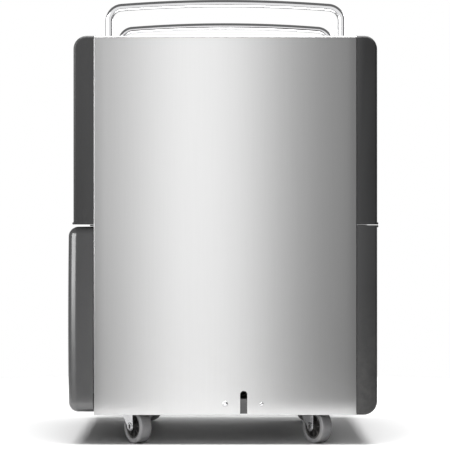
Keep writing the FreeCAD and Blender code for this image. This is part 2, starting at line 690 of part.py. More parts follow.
def fan_shroud():
    """A plate with a bell ring around the fan and three arms that hold the motor."""
    plate = box(-186, 186, SHROUD_Y, SHROUD_Y + 2, SHELF_Z + 22, ROOF - 3)
    bell = ring(point(0, SHROUD_Y, FAN_Z), Y_AXIS, SHROUD_BORE, SHROUD_BORE + 3, 38)
    cup_start = SHROUD_Y + 40
    cup = ring(point(0, cup_start, FAN_Z), Y_AXIS, MOTOR_R, MOTOR_R + 3, 22)
    pieces = [plate, bell, cup]
    for k in range(3):
        arm = box(MOTOR_R + 1, SHROUD_BORE + 2, SHROUD_Y + 37, SHROUD_Y + 44, -6, 6)
        arm.translate(point(0, 0, FAN_Z))
        arm.rotate(point(0, 0, FAN_Z), Y_AXIS, 90 + 120 * k)
        pieces.append(arm)
    shroud = joined(pieces)
    return shroud.cut(rod(point(0, SHROUD_Y - 1, FAN_Z), Y_AXIS, SHROUD_BORE, 30))


def fan_impeller():
    """Five pitched blades on a cup-shaped hub."""
    start = SHROUD_Y + 4
    depth = 28.0
    hub = rod(point(0, start, FAN_Z), Y_AXIS, 36.0, depth)
    hub = hub.cut(rod(point(0, start + 3, FAN_Z), Y_AXIS, 33.0, depth))
    hub = hub.fuse(rod(point(0, start, FAN_Z), Y_AXIS, 9.0, depth - 2))
    limits = ring(point(0, start, FAN_Z), Y_AXIS, 35.0, FAN_R, depth)
    pieces = [hub]
    for k in range(5):
        blade = box(30, FAN_R + 5, -1.2, 1.2, -42, 42)
        blade.rotate(point(0, 0, 0), X_AXIS, 62)
        blade.translate(point(0, start + depth / 2, FAN_Z))
        blade.rotate(point(0, start, FAN_Z), Y_AXIS, 72 * k)
        pieces.append(blade.common(limits))
    fan = joined(pieces)
    return fan.cut(rod(point(0, start - 1, FAN_Z), Y_AXIS, 4.0 + RUNNING, depth + 2))


def fan_motor():
    """A round motor held in the shroud's cup, with its shaft through the fan."""
    start = SHROUD_Y + 42
    can = rod(point(0, start, FAN_Z), Y_AXIS, MOTOR_R - 0.2, 52)
    shaft = rod(point(0, SHROUD_Y + 1, FAN_Z), Y_AXIS, 4.0, 50)
    boss = rod(point(0, start - 4, FAN_Z), Y_AXIS, 12.0, 6)
    cap = rod(point(0, start + 50, FAN_Z), Y_AXIS, 14.0, 8)
    return joined([can, shaft, boss, cap])


# --- cooling machinery ------------------------------------------------------------

def feet_places():
    """Three rubber feet, evenly spread around the compressor."""
    places = []
    for k in range(3):
        angle = math.radians(90 + 120 * k)
        places.append((COMPRESSOR_X + 78 * math.cos(angle), COMPRESSOR_Y + 78 * math.sin(angle)))
    return places


def compressor():
    """A hermetic can with rounded ends, a terminal cover, and a three-armed foot plate."""
    low = COMPRESSOR_LOW
    can = rod(point(COMPRESSOR_X, COMPRESSOR_Y, low), Z_AXIS, COMPRESSOR_R, 175)
    can = can.makeFillet(24.0, [e for e in can.Edges if isinstance(e.Curve, Part.Circle)])
    seam = rod(point(COMPRESSOR_X, COMPRESSOR_Y, low + 110), Z_AXIS, 62.0, 8)
    terminal = box(COMPRESSOR_X + 50, COMPRESSOR_X + 76, COMPRESSOR_Y - 22, COMPRESSOR_Y + 22,
                   low + 40, low + 92)
    pieces = [can, seam, terminal]
    pieces.append(rod(point(COMPRESSOR_X, COMPRESSOR_Y, low - 6), Z_AXIS, 50.0, 12))
    for k in range(3):
        arm = box(0, 78, -13, 13, low - 6, low - 3)
        arm = arm.fuse(rod(point(78, 0, low - 6), Z_AXIS, 13.0, 3))
        arm.rotate(point(0, 0, 0), Z_AXIS, 90 + 120 * k)
        arm.translate(point(COMPRESSOR_X, COMPRESSOR_Y, 0))
        pieces.append(arm)
    body = joined(pieces)
    cuts = [rod(point(x, y, low - 8), Z_AXIS, 5.2, 8) for x, y in feet_places()]
    return body.cut(cuts)


def compressor_grommets():
    """Rubber feet, each a spool with a groove for the foot plate."""
    feet = []
    for x, y in feet_places():
        lower = rod(point(x, y, PAN_TOP), Z_AXIS, 11.0, 90.0 - PAN_TOP)
        neck = rod(point(x, y, PAN_TOP), Z_AXIS, 5.0, 93.2 - PAN_TOP)
        head = rod(point(x, y, 93.0), Z_AXIS, 9.0, 4.0)
        feet.append(joined([lower, neck, head]))
    return feet


def suction_pipe():
    """From the evaporator's outlet back and down to the side of the compressor."""
    y, z = coil_places(EVAPORATOR_Y)[0]
    start = point(-COIL_HALF - 16, y, z)
    points = [start, point(PIPE_X, y, z), point(PIPE_X, y, z - 15), point(PIPE_X, -70, z - 15),
              point(PIPE_X, -16, 330), point(PIPE_X, -16, 150), point(-180, COMPRESSOR_Y, 150),
              point(COMPRESSOR_X - COMPRESSOR_R - 0.3, COMPRESSOR_Y, 150)]
    return pipe(points, PIPE_BEND, COIL_TUBE_R)


def discharge_pipe():
    """From the compressor's dome up and forward to the condenser's inlet."""
    y, z = coil_places(CONDENSER_Y)[0]
    start = point(-COIL_HALF - 16, y, z)
    points = [start, point(PIPE_X, y, z), point(PIPE_X, y, z + 26), point(PIPE_X, -40, z + 26),
              point(-178, 40, 330), point(-100, COMPRESSOR_Y - 20, 320),
              point(-100, COMPRESSOR_Y - 20, COMPRESSOR_LOW + 175)]
    return pipe(points, PIPE_BEND, COIL_TUBE_R)


def filter_drier():
    """A slim copper can between the condenser and the capillary."""
    axis_x, axis_y, low = -180.0, -16.0, 190.0
    can = rod(point(axis_x, axis_y, low), Z_AXIS, 9.0, 90)
    can = can.makeFillet(4.0, [e for e in can.Edges if isinstance(e.Curve, Part.Circle)])
    return joined([can, rod(point(axis_x, axis_y, low - 8), Z_AXIS, 3.0, 106)])


def capillary_tube():
    """A thin coiled tube under the drier."""
    turns = []
    for k in range(4):
        turns.append(Part.makeTorus(14.0, 1.5, point(-180.0, -16.0, 120.0 + 2.6 * k), Z_AXIS))
    stem = rod(point(-166.0, -16.0, 120.0), Z_AXIS, 1.5, 50)
    return joined(turns + [stem])


def control_box():
    """The electrical box by the rear cover, with a raised lid."""
    body = box(40, 190, 130, 195, 150, 300)
    lid = box(37, 193, 126, 131, 147, 303)
    glands = [rod(point(x, 162, 138), Z_AXIS, 8.0, 13) for x in (70, 100, 130)]
    return joined([body, lid] + glands)


def run_capacitor():
    """A round capacitor standing in a clip on the pan."""
    can = rod(point(90, 60, PAN_TOP), Z_AXIS, 20.0, 90)
    can = can.makeFillet(3.0, [e for e in can.Edges if isinstance(e.Curve, Part.Circle)])
    clip = ring(point(90, 60, PAN_TOP + 30), Z_AXIS, 19.0, 21.5, 14)
    blades = [box(90 + dx - 3, 90 + dx + 3, 59.6, 60.4, PAN_TOP + 89, PAN_TOP + 98) for dx in (-8, 8)]
    return joined([can, clip] + blades)


def drain_hose():
    """A hose from the tray's stub to the nipple, along the inside of the casing."""
    top = point(HOSE_X, -108.0, TRAY_LOW - 0.5)
    points = [top, point(HOSE_X, -108, 222), point(HOSE_X, SLOT_Y, 222), point(HOSE_X, SLOT_Y, 150),
              point(152, SLOT_Y, 124), point(152, SLOT_Y, 93)]
    return pipe(points, 16.0, 6.0).cut(pipe(points, 16.0, NIPPLE_R + 0.05))


def drain_nipple():
    """An elbow on the pan whose nipple points out through the slot."""
    block = box(142, NIPPLE_ROOT, SLOT_Y - 11, SLOT_Y + 11, PAN_TOP, 92)
    block = rounded(block, 3.0, lambda m, d: near(abs(d.z), 1))
    nose = rod(point(NIPPLE_ROOT - 1, SLOT_Y, NIPPLE_Z), X_AXIS, NIPPLE_R, NIPPLE_LENGTH + 1)
    riser = rod(point(152, SLOT_Y, 91), Z_AXIS, NIPPLE_R, 14)
    bores = [rod(point(152, SLOT_Y, NIPPLE_Z), X_AXIS, 2.5, 50),
             rod(point(152, SLOT_Y, NIPPLE_Z), Z_AXIS, 2.5, 40)]
    return joined([block, nose, riser]).cut(bores)


# --- handles ---------------------------------------------------------------------
def handle(x):
    """A chromed tube: two legs, two bends, and a bar that bows gently upwards."""
    crown = HANDLE_TOP - TUBE_R
    half = (HANDLE_REAR - HANDLE_FRONT) / 2.0 - HANDLE_BEND
    middle = (HANDLE_REAR + HANDLE_FRONT) / 2.0
    slope = 2.0 * math.atan(HANDLE_BOW / half)
    turn = math.pi / 2 - slope
    shoulder = crown - HANDLE_BOW
    end = HANDLE_BEND * (1 - math.cos(turn))
    rise = HANDLE_BEND * math.sin(turn)
    leg_top = shoulder - rise
    mid_turn = turn / 2.0
    edges = []
    for side, foot_y in ((1, HANDLE_FRONT), (-1, HANDLE_REAR)):
        foot = point(x, foot_y, HANDLE_FOOT)
        top = point(x, foot_y, leg_top)
        half_way = point(x, foot_y + side * HANDLE_BEND * (1 - math.cos(mid_turn)),
                         leg_top + HANDLE_BEND * math.sin(mid_turn))
        finish = point(x, foot_y + side * end, shoulder)
        edges.append(Part.makeLine(foot, top))
        edges.append(Part.Arc(top, half_way, finish).toShape())
    bow_start = edges[1].valueAt(edges[1].LastParameter)
    bow_end = edges[3].valueAt(edges[3].LastParameter)
    bow = Part.Arc(bow_start, point(x, middle, crown), bow_end).toShape()
    path = Part.Wire(Part.sortEdges([edges[0], edges[1], bow, edges[3], edges[2]])[0])
    circle = Part.Wire(Part.makeCircle(TUBE_R, point(x, HANDLE_FRONT, HANDLE_FOOT), Z_AXIS))
    return path.makePipeShell([circle], True, False)


def handle_nuts():
    """Hexagon nuts under the casing's top, one on each leg."""
    nuts = []
    for x in (-HANDLE_X, HANDLE_X):
        for y in (HANDLE_FRONT, HANDLE_REAR):
            nuts.append(hexagon(x, y, ROOF - 12, 11.0, 11.5).cut(
                rod(point(x, y, ROOF - 13), Z_AXIS, TUBE_R + 0.05, 14)))
    return nuts


def hexagon(x, y, z, radius, height):
    """A hexagonal prism, the radius being to its corners."""
    corners = [point(x + radius * math.cos(math.radians(60 * k)),
                     y + radius * math.sin(math.radians(60 * k)), z) for k in range(7)]
    return Part.Face(Part.makePolygon(corners)).extrude(Z_AXIS * height)


# --- castors ----------------------------------------------------------------------
# Direction of each castor's trail, in degrees from +X towards +Y.
CASTERS = {
    "front_right": (CASTER_X, CASTER_FRONT, 35.0),
    "rear_right": (CASTER_X, CASTER_REAR, 35.0),
    "front_left": (-CASTER_X, CASTER_FRONT, 49.0),
    "rear_left": (-CASTER_X, CASTER_REAR, 35.0),
}
FORK_INSIDE = 12.5
FORK_SHEET = 2.5
CROWN_LOW = 57.0


def caster_places():
    return [place[:2] for place in CASTERS.values()]


def bolt_places(x, y):
    """The four bolts of a castor plate."""
    return [point(x + dx, y + dy, 0) for dx in (-25.0, 25.0) for dy in (-18.0, 18.0)]


def turned(shape, name):
    """Takes a castor piece from its swivel axis with the trail on +X to its own place."""
    x, y, angle = CASTERS[name]
    shape.rotate(point(0, 0, 0), Z_AXIS, angle)
    shape.translate(point(x, y, 0))
    return shape


def caster_plates():
    """Top plates, each with its raceway and king pin."""
    plates = []
    for x, y in caster_places():
        plate = box(x - 32, x + 32, y - 25, y + 25, PAN_FLOOR - 2.5, PAN_FLOOR)
        plate = rounded(plate, 4.0, lambda m, d: near(abs(d.z), 1))
        race = rod(point(x, y, 61.0), Z_AXIS, 20.0, 7)
        race = race.cut(rod(point(x, y, 60.0), Z_AXIS, 16.5, 4))
        pin = rod(point(x, y, 55.0), Z_AXIS, 4.0, 13)
        head = rod(point(x, y, 54.6), Z_AXIS, 7.0, 2.2)
        plate = joined([plate, race, pin, head])
        holes = [rod(point(b.x, b.y, PAN_FLOOR - 5), Z_AXIS, 2.6, 8) for b in bolt_places(x, y)]
        plates.append(plate.cut(holes))
    return plates


def caster_bolts():
    """Hexagon bolts that hold the plates under the pan."""
    bolts = []
    for x, y in caster_places():
        for b in bolt_places(x, y):
            head = hexagon(b.x, b.y, PAN_FLOOR - 2.5 - 3.5, 4.6, 3.5)
            bolts.append(joined([head, rod(point(b.x, b.y, PAN_FLOOR - 3), Z_AXIS, 2.5, 7)]))
    return bolts


def caster_fork(name):
    """A pressed fork with slanted legs, and its hollow axle rivet."""
    rear = TRAIL + 6.5
    eye_r = 7.6
    outline = [(-16.0, CROWN_LOW + 1), (rear, CROWN_LOW + 1), (TRAIL + eye_r, WHEEL_R + 2),
               (TRAIL, WHEEL_R - 2), (TRAIL - eye_r + 0.4, WHEEL_R - 1)]
    pieces = []
    for side in (-1, 1):
        v = side * FORK_INSIDE
        thick = side * FORK_SHEET
        corners = [point(u, v, z) for u, z in outline + outline[:1]]
        leg = Part.Face(Part.makePolygon(corners)).extrude(point(0, thick, 0))
        eye = rod(point(TRAIL, v, WHEEL_R), Y_AXIS * side, eye_r, FORK_SHEET)
        pieces.extend([leg, eye])
    width = FORK_INSIDE + FORK_SHEET
    pieces.append(box(-14, rear, -width, width, CROWN_LOW, CROWN_LOW + 2.5))
    pieces.append(rod(point(0, 0, CROWN_LOW), Z_AXIS, 20.5, 2.5))
    pieces.append(ring(point(0, 0, CROWN_LOW + 2), Z_AXIS, 6.0, 16.0, 3.5))
    fork = joined(pieces)
    fork = fork.cut([
        rod(point(0, 0, CROWN_LOW - 1), Z_AXIS, 4.0 + RUNNING, 10),
        rod(point(TRAIL, -20, WHEEL_R), Y_AXIS, AXLE_R, 40),
    ])
    axle = rod(point(TRAIL, -width - 0.8, WHEEL_R), Y_AXIS, AXLE_R, 2 * width + 1.6)
    for side in (-1, 1):
        axle = axle.fuse(rod(point(TRAIL, side * width, WHEEL_R), Y_AXIS * side, AXLE_R + 1.4, 0.8))
    for side in (-1, 1):
        axle = axle.cut(rod(point(TRAIL, side * (width + 2), WHEEL_R), Y_AXIS * -side, 3.6, 12))
    return [turned(fork, name), turned(axle.removeSplitter(), name)]


def caster_hub(name):
    """A black hub with a sunk web and eight ribs on each side."""
    half = 9.0
    rim = ring(point(TRAIL, -half, WHEEL_R), Y_AXIS, HUB_R - 3, HUB_R, 2 * half)
    core = rod(point(TRAIL, -11.5, WHEEL_R), Y_AXIS, 8.0, 23)
    web = rod(point(TRAIL, -2.0, WHEEL_R), Y_AXIS, HUB_R - 2, 4)
    pieces = [rim, core, web]
    for k in range(4):
        rib = box(-HUB_R + 2, HUB_R - 2, -7.0, 7.0, -0.9, 0.9)
        rib.rotate(point(0, 0, 0), Y_AXIS, 45 * k)
        rib.translate(point(TRAIL, 0, WHEEL_R))
        pieces.append(rib)
    hub = joined(pieces)
    bore = rod(point(TRAIL, -20, WHEEL_R), Y_AXIS, AXLE_R + RUNNING, 40)
    return turned(hub.cut(bore), name)


def caster_tyre(name):
    """A grey tyre with rounded shoulders."""
    half = TYRE_WIDTH / 2
    body = rod(point(TRAIL, -half, WHEEL_R), Y_AXIS, WHEEL_R, TYRE_WIDTH)
    body = body.makeFillet(TYRE_SHOULDER, [e for e in body.Edges if isinstance(e.Curve, Part.Circle)])
    return turned(body.cut(rod(point(TRAIL, -20, WHEEL_R), Y_AXIS, HUB_R, 40)), name)


# --- everything, one file each -----------------------------------------------------
def build():
    save("steel_casing", steel_casing())
    save("base_pan", base_pan())
    save("casing_screws", casing_screws())
    save("casing_rivets", casing_rivets())
    save("front_frame", front_frame())
    save("front_cover", front_cover())
    save("rear_upper_cover", rear_upper_cover())
    save("rear_lower_cover", rear_lower_cover())
    save("intake_grille", intake_grille())
    save("air_filter", air_filter())
    save("control_panel", control_panel())
    save("display_window", display_window())
    for name, (x, z) in zip(BUTTONS, button_places()):
        save(name, push_button(x, z))
    save("control_board", control_board())
    save("power_inlet", power_inlet())
    save("power_rocker", power_rocker())
    save("tank_front", tank_front())
    save("tank_bucket", tank_bucket())
    save("tank_lid", tank_lid())
    save("tank_float", tank_float())
    save("float_switch", float_switch())
    for name, middle in (("evaporator", EVAPORATOR_Y), ("condenser", CONDENSER_Y)):
        save(name + "_fins", coil_fins(middle))
        save(name + "_tubes", coil_tubes(middle))
    save("drip_tray", drip_tray())
    save("inner_partition", inner_partition())
    save("fan_shroud", fan_shroud())
    save("fan_impeller", fan_impeller())
    save("fan_motor", fan_motor())
    save("compressor", compressor())
    save("compressor_grommets", compressor_grommets())
    save("suction_pipe", suction_pipe())
    save("discharge_pipe", discharge_pipe())
    save("filter_drier", filter_drier())
    save("capillary_tube", capillary_tube())
    save("control_box", control_box())
    save("run_capacitor", run_capacitor())
    save("drain_hose", drain_hose())
    save("drain_nipple", drain_nipple())
    save("handle_right", handle(HANDLE_X))
    save("handle_left", handle(-HANDLE_X))
    save("handle_nuts", handle_nuts())
    save("caster_plates", caster_plates())
    save("caster_bolts", caster_bolts())
    for name in CASTERS:
        save("caster_fork_" + name, caster_fork(name))
        save("caster_hub_" + name, caster_hub(name))
        save("caster_tyre_" + name, caster_tyre(name))


build()
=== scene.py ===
# %% [markdown]
# # A commercial dehumidifier on castors
# The machine is a steel-wrapped box with a water tank at the front, black moulded covers at both ends, two
# chromed tube handles and four swivel castors. The CAD frame holds every piece at its true size. This lesson
# dresses it: each finish is a material of nodes, and each curved skin is a surface worked out with numpy.

# %% Load the frame
import json
import math

import bmesh
import bpy
import numpy as np
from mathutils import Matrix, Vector

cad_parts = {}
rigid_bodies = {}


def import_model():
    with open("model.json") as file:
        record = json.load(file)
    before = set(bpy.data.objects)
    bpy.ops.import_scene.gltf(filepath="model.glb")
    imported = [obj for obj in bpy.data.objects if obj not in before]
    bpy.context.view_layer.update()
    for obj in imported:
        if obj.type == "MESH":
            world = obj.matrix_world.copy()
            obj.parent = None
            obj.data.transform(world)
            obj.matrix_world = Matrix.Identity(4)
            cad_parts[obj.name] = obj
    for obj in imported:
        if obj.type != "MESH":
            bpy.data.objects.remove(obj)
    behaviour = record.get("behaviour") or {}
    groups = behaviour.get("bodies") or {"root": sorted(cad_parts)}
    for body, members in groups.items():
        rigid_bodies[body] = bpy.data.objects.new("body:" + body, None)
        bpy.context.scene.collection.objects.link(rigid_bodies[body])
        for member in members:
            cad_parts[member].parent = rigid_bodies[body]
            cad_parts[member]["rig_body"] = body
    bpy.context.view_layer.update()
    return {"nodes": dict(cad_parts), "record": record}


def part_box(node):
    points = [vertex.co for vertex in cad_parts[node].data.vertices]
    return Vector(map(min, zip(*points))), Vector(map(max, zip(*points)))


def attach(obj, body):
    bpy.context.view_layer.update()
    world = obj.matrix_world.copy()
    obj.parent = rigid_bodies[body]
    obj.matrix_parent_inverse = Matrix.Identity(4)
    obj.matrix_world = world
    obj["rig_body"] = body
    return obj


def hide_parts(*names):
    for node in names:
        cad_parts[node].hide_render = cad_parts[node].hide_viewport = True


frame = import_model()

# %% [markdown]
# ## Writing materials
# A material is a small graph. Most of them read the same few effects: a fine moulded grain, brushing, dust
# near the floor and smudges. Each effect is a node group with named inputs and outputs, so that it is built
# once and placed in each material with its own values. This short class adds nodes and wires in one line.

# %% A helper that adds nodes and wires
class Graph:
    """Adds nodes to a node tree: every input is a number, a colour or another node's output."""

    def __init__(self, tree):
        self.tree = tree

    def add(self, kind, settings=None, **inputs):
        node = self.tree.nodes.new(kind)
        for key, value in (settings or {}).items():
            setattr(node, key, value)
        for key, value in inputs.items():
            self.feed(node.inputs[self.find(node, key)], value)
        return node

    def find(self, node, key):
        """An input's place: its name with spaces as underscores, or a letter and a number for its place."""
        if key[0] == "i" and key[1:].isdigit():
            return int(key[1:])
        names = [socket.name.replace(" ", "_") for socket in node.inputs]
        return names.index(key)

    def feed(self, socket, value):
        if isinstance(value, bpy.types.NodeSocket):
            self.tree.links.new(value, socket)
        else:
            socket.default_value = value

    def math(self, operation, a, b=0.5, c=0.5):
        node = self.add("ShaderNodeMath", {"operation": operation}, i0=a, i1=b, i2=c)
        return node.outputs[0]

    def ramp(self, value, low, high, to_low=0.0, to_high=1.0):
        """A value rescaled from one range to another, kept inside it."""
        node = self.add("ShaderNodeMapRange", None, Value=value, From_Min=low, From_Max=high,
                        To_Min=to_low, To_Max=to_high)
        return node.outputs["Result"]

    def blend(self, factor, a, b, mode="MIX"):
        node = self.add("ShaderNodeMix", {"data_type": "RGBA", "blend_type": mode})
        self.feed(node.inputs["Factor"], factor)
        self.feed(node.inputs[6], a)
        self.feed(node.inputs[7], b)
        return node.outputs[2]

    def noise(self, vector, scale, detail=2.0, roughness=0.5):
        node = self.add("ShaderNodeTexNoise", None, Vector=vector, Scale=scale, Detail=detail,
                        Roughness=roughness)
        return node.outputs["Fac"]

    def stretched(self, vector, scale):
        """Coordinates multiplied axis by axis."""
        node = self.add("ShaderNodeMapping", None, Vector=vector, Scale=scale)
        return node.outputs[0]


def grey(value, alpha=1.0):
    return (value, value, value, alpha)


def new_group(name, inputs, outputs):
    """An empty node group with named sockets: each is (name, kind, starting value)."""
    tree = bpy.data.node_groups.new(name, "ShaderNodeTree")
    for title, kind, value in inputs:
        socket = tree.interface.new_socket(name=title, in_out="INPUT", socket_type=kind)
        if value is not None:
            socket.default_value = value
    for title, kind in outputs:
        tree.interface.new_socket(name=title, in_out="OUTPUT", socket_type=kind)
    graph = Graph(tree)
    return graph, graph.add("NodeGroupInput").outputs, graph.add("NodeGroupOutput").inputs


FLOAT = "NodeSocketFloat"
VECTOR = "NodeSocketVector"

# %% [markdown]
# ## The shared effects
# **Moulded grain**: an injection tool is spark-eroded, so the plastic has a pebbled skin about half a
# millimetre wide. Two sizes of noise give it. **Brushing**: an abrasive belt leaves long scratches, so the
# noise is squeezed hard across the stroke and hardly along it. **Dust** settles low down and on what faces
# upwards, broken up by noise. **Smudges** are broad, faint changes of gloss where hands and cloths go.

# %% Moulded grain
def grain_group():
    graph, source, sink = new_group(
        "moulded_grain",
        [("Vector", VECTOR, None), ("Size", FLOAT, 1600.0), ("Tone", FLOAT, 0.1)],
        [("Height", FLOAT), ("Shade", FLOAT)])
    fine = graph.noise(source["Vector"], source["Size"], 1.0)
    size = graph.math("MULTIPLY", source["Size"], 0.31)
    coarse = graph.noise(source["Vector"], size, 2.0)
    height = graph.math("ADD", graph.math("MULTIPLY", fine, 0.6), graph.math("MULTIPLY", coarse, 0.4))
    graph.feed(sink["Height"], height)
    low = graph.math("SUBTRACT", 1.0, source["Tone"])
    high = graph.math("ADD", 1.0, source["Tone"])
    graph.feed(sink["Shade"], graph.ramp(coarse, 0.3, 0.7, low, high))
    return graph.tree


# %% Brushing
def brushing_group():
    graph, source, sink = new_group(
        "brushing",
        [("Vector", VECTOR, None), ("Fine", FLOAT, 1.0)],
        [("Streaks", FLOAT), ("Broad", FLOAT)])
    scaled = graph.add("ShaderNodeVectorMath", {"operation": "SCALE"}, i0=source["Vector"],
                       i3=source["Fine"]).outputs[0]
    streaks = graph.noise(scaled, 1.0, 3.0, 0.7)
    broad_space = graph.add("ShaderNodeVectorMath", {"operation": "SCALE"}, i0=scaled, i3=0.13).outputs[0]
    graph.feed(sink["Streaks"], streaks)
    graph.feed(sink["Broad"], graph.noise(broad_space, 1.0, 2.0))
    return graph.tree


# %% Dust and smudges
def dust_group():
    graph, source, sink = new_group(
        "settled_dust",
        [("Vector", VECTOR, None), ("Amount", FLOAT, 0.2), ("Reach", FLOAT, 0.25)],
        [("Mask", FLOAT)])
    height = graph.add("ShaderNodeSeparateXYZ", None, Vector=source["Vector"]).outputs["Z"]
    low_down = graph.ramp(height, 0.0, source["Reach"], 1.0, 0.0)
    facing = graph.add("ShaderNodeNewGeometry").outputs["Normal"]
    upward = graph.ramp(graph.add("ShaderNodeSeparateXYZ", None, Vector=facing).outputs["Z"], 0.5, 1.0)
    patchy = graph.ramp(graph.noise(source["Vector"], 45.0, 5.0, 0.7), 0.35, 0.75)
    either = graph.math("ADD", low_down, graph.math("MULTIPLY", upward, 0.5))
    mask = graph.math("MULTIPLY", graph.math("MULTIPLY", either, patchy), source["Amount"])
    graph.feed(sink["Mask"], graph.math("MINIMUM", mask, 1.0))
    return graph.tree


def smudge_group():
    graph, source, sink = new_group(
        "smudges",
        [("Vector", VECTOR, None), ("Low", FLOAT, 0.3), ("High", FLOAT, 0.4)],
        [("Roughness", FLOAT)])
    broad = graph.noise(source["Vector"], 9.0, 4.0, 0.6)
    fine = graph.noise(source["Vector"], 70.0, 3.0, 0.6)
    mixed = graph.math("ADD", graph.math("MULTIPLY", broad, 0.7), graph.math("MULTIPLY", fine, 0.3))
    graph.feed(sink["Roughness"], graph.ramp(mixed, 0.35, 0.65, source["Low"], source["High"]))
    return graph.tree


GROUPS = {"grain": grain_group(), "brushing": brushing_group(), "dust": dust_group(),
          "smudges": smudge_group()}
print("effects:", ", ".join(sorted(GROUPS)))


# %% A material's beginning and end
class Finish(Graph):
    """A material with one Principled shader. Uniform values go straight on the shader's own sockets."""

    def __init__(self, name, **uniform):
        self.material = bpy.data.materials.new(name)
        self.material.use_nodes = True
        super().__init__(self.material.node_tree)
        self.shader = self.tree.nodes["Principled BSDF"]
        for key, value in uniform.items():
            self.shader.inputs[key.replace("_", " ")].default_value = value
        self.place = self.add("ShaderNodeTexCoord").outputs["Object"]

    def effect(self, name, **inputs):
        node = self.tree.nodes.new("ShaderNodeGroup")
        node.node_tree = GROUPS[name]
        inputs.setdefault("Vector", self.place)
        for key, value in inputs.items():
            self.feed(node.inputs[key], value)
        return node.outputs

    def colour(self, value):
        self.feed(self.shader.inputs["Base Color"], value)

    def roughness(self, value):
        self.feed(self.shader.inputs["Roughness"], value)

    def bump(self, height, distance, strength=1.0):
        node = self.add("ShaderNodeBump", None, Strength=strength, Distance=distance, Height=height)
        self.feed(self.shader.inputs["Normal"], node.outputs[0])

    def dusted(self, colour, amount, tint=(0.35, 0.33, 0.3, 1.0), reach=0.25):
        """A colour with settled dust over it."""
        mask = self.effect("dust", Amount=amount, Reach=reach)["Mask"]
        self.colour(self.blend(mask, colour, tint))


# %% [markdown]
# ## The finishes
# Moulded plastic is a dark base under a pebbled bump, a little uneven in gloss. Metals are lit by what they
# mirror, so their roughness matters most: bright zinc, drawn copper, mill aluminium and chrome differ in
# little else than tint, streaks and gloss.

# %% Moulded plastics and rubbers
def plastic(name, base, rough, grain=1600.0, depth=0.00004, dust=0.12, specular=0.5, strength=0.5):
    finish = Finish(name)
    finish.shader.inputs["Specular IOR Level"].default_value = specular
    skin = finish.effect("grain", Size=grain, Tone=0.06)
    shade = finish.blend(1.0, base, skin["Shade"], "MULTIPLY")
    finish.dusted(shade, dust)
    finish.roughness(finish.effect("smudges", Low=rough - 0.04, High=rough + 0.05)["Roughness"])
    finish.bump(skin["Height"], depth, strength)
    return finish.material


# %% Metals
def metal(name, tint, rough, stretch, spread=0.06, tone=0.08, depth=0.00001, anisotropy=0.0):
    """A metal whose streaks run along the axis with the smallest number in stretch."""
    finish = Finish(name, Metallic=1.0, Anisotropic=anisotropy)
    space = finish.stretched(finish.place, stretch)
    marks = finish.effect("brushing", Vector=space)
    shade = finish.ramp(marks["Streaks"], 0.25, 0.75, 1.0 - tone, 1.0 + tone)
    finish.dusted(finish.blend(1.0, tint, shade, "MULTIPLY"), 0.1)
    finish.roughness(finish.ramp(marks["Broad"], 0.3, 0.7, rough - spread, rough + spread))
    if depth:
        finish.bump(marks["Streaks"], depth, 0.4)
    if anisotropy:
        tangent = finish.add("ShaderNodeTangent", {"direction_type": "UV_MAP", "uv_map": "grain"})
        finish.feed(finish.shader.inputs["Tangent"], tangent.outputs[0])
    return finish.material


# %% Galvanised sheet
def galvanised(name):
    """Zinc spangle: flat crystals a few millimetres wide, each with its own shade and gloss."""
    finish = Finish(name, Metallic=1.0)
    cells = finish.add("ShaderNodeTexVoronoi", None, Vector=finish.place, Scale=130.0)
    crystal = finish.add("ShaderNodeSeparateColor", None, Color=cells.outputs["Color"]).outputs[0]
    shade = finish.ramp(crystal, 0.0, 1.0, 0.42, 0.62)
    finish.dusted(shade, 0.3)
    finish.roughness(finish.ramp(crystal, 0.0, 1.0, 0.38, 0.55))
    finish.bump(finish.noise(finish.place, 400.0), 0.00003, 0.3)
    return finish.material


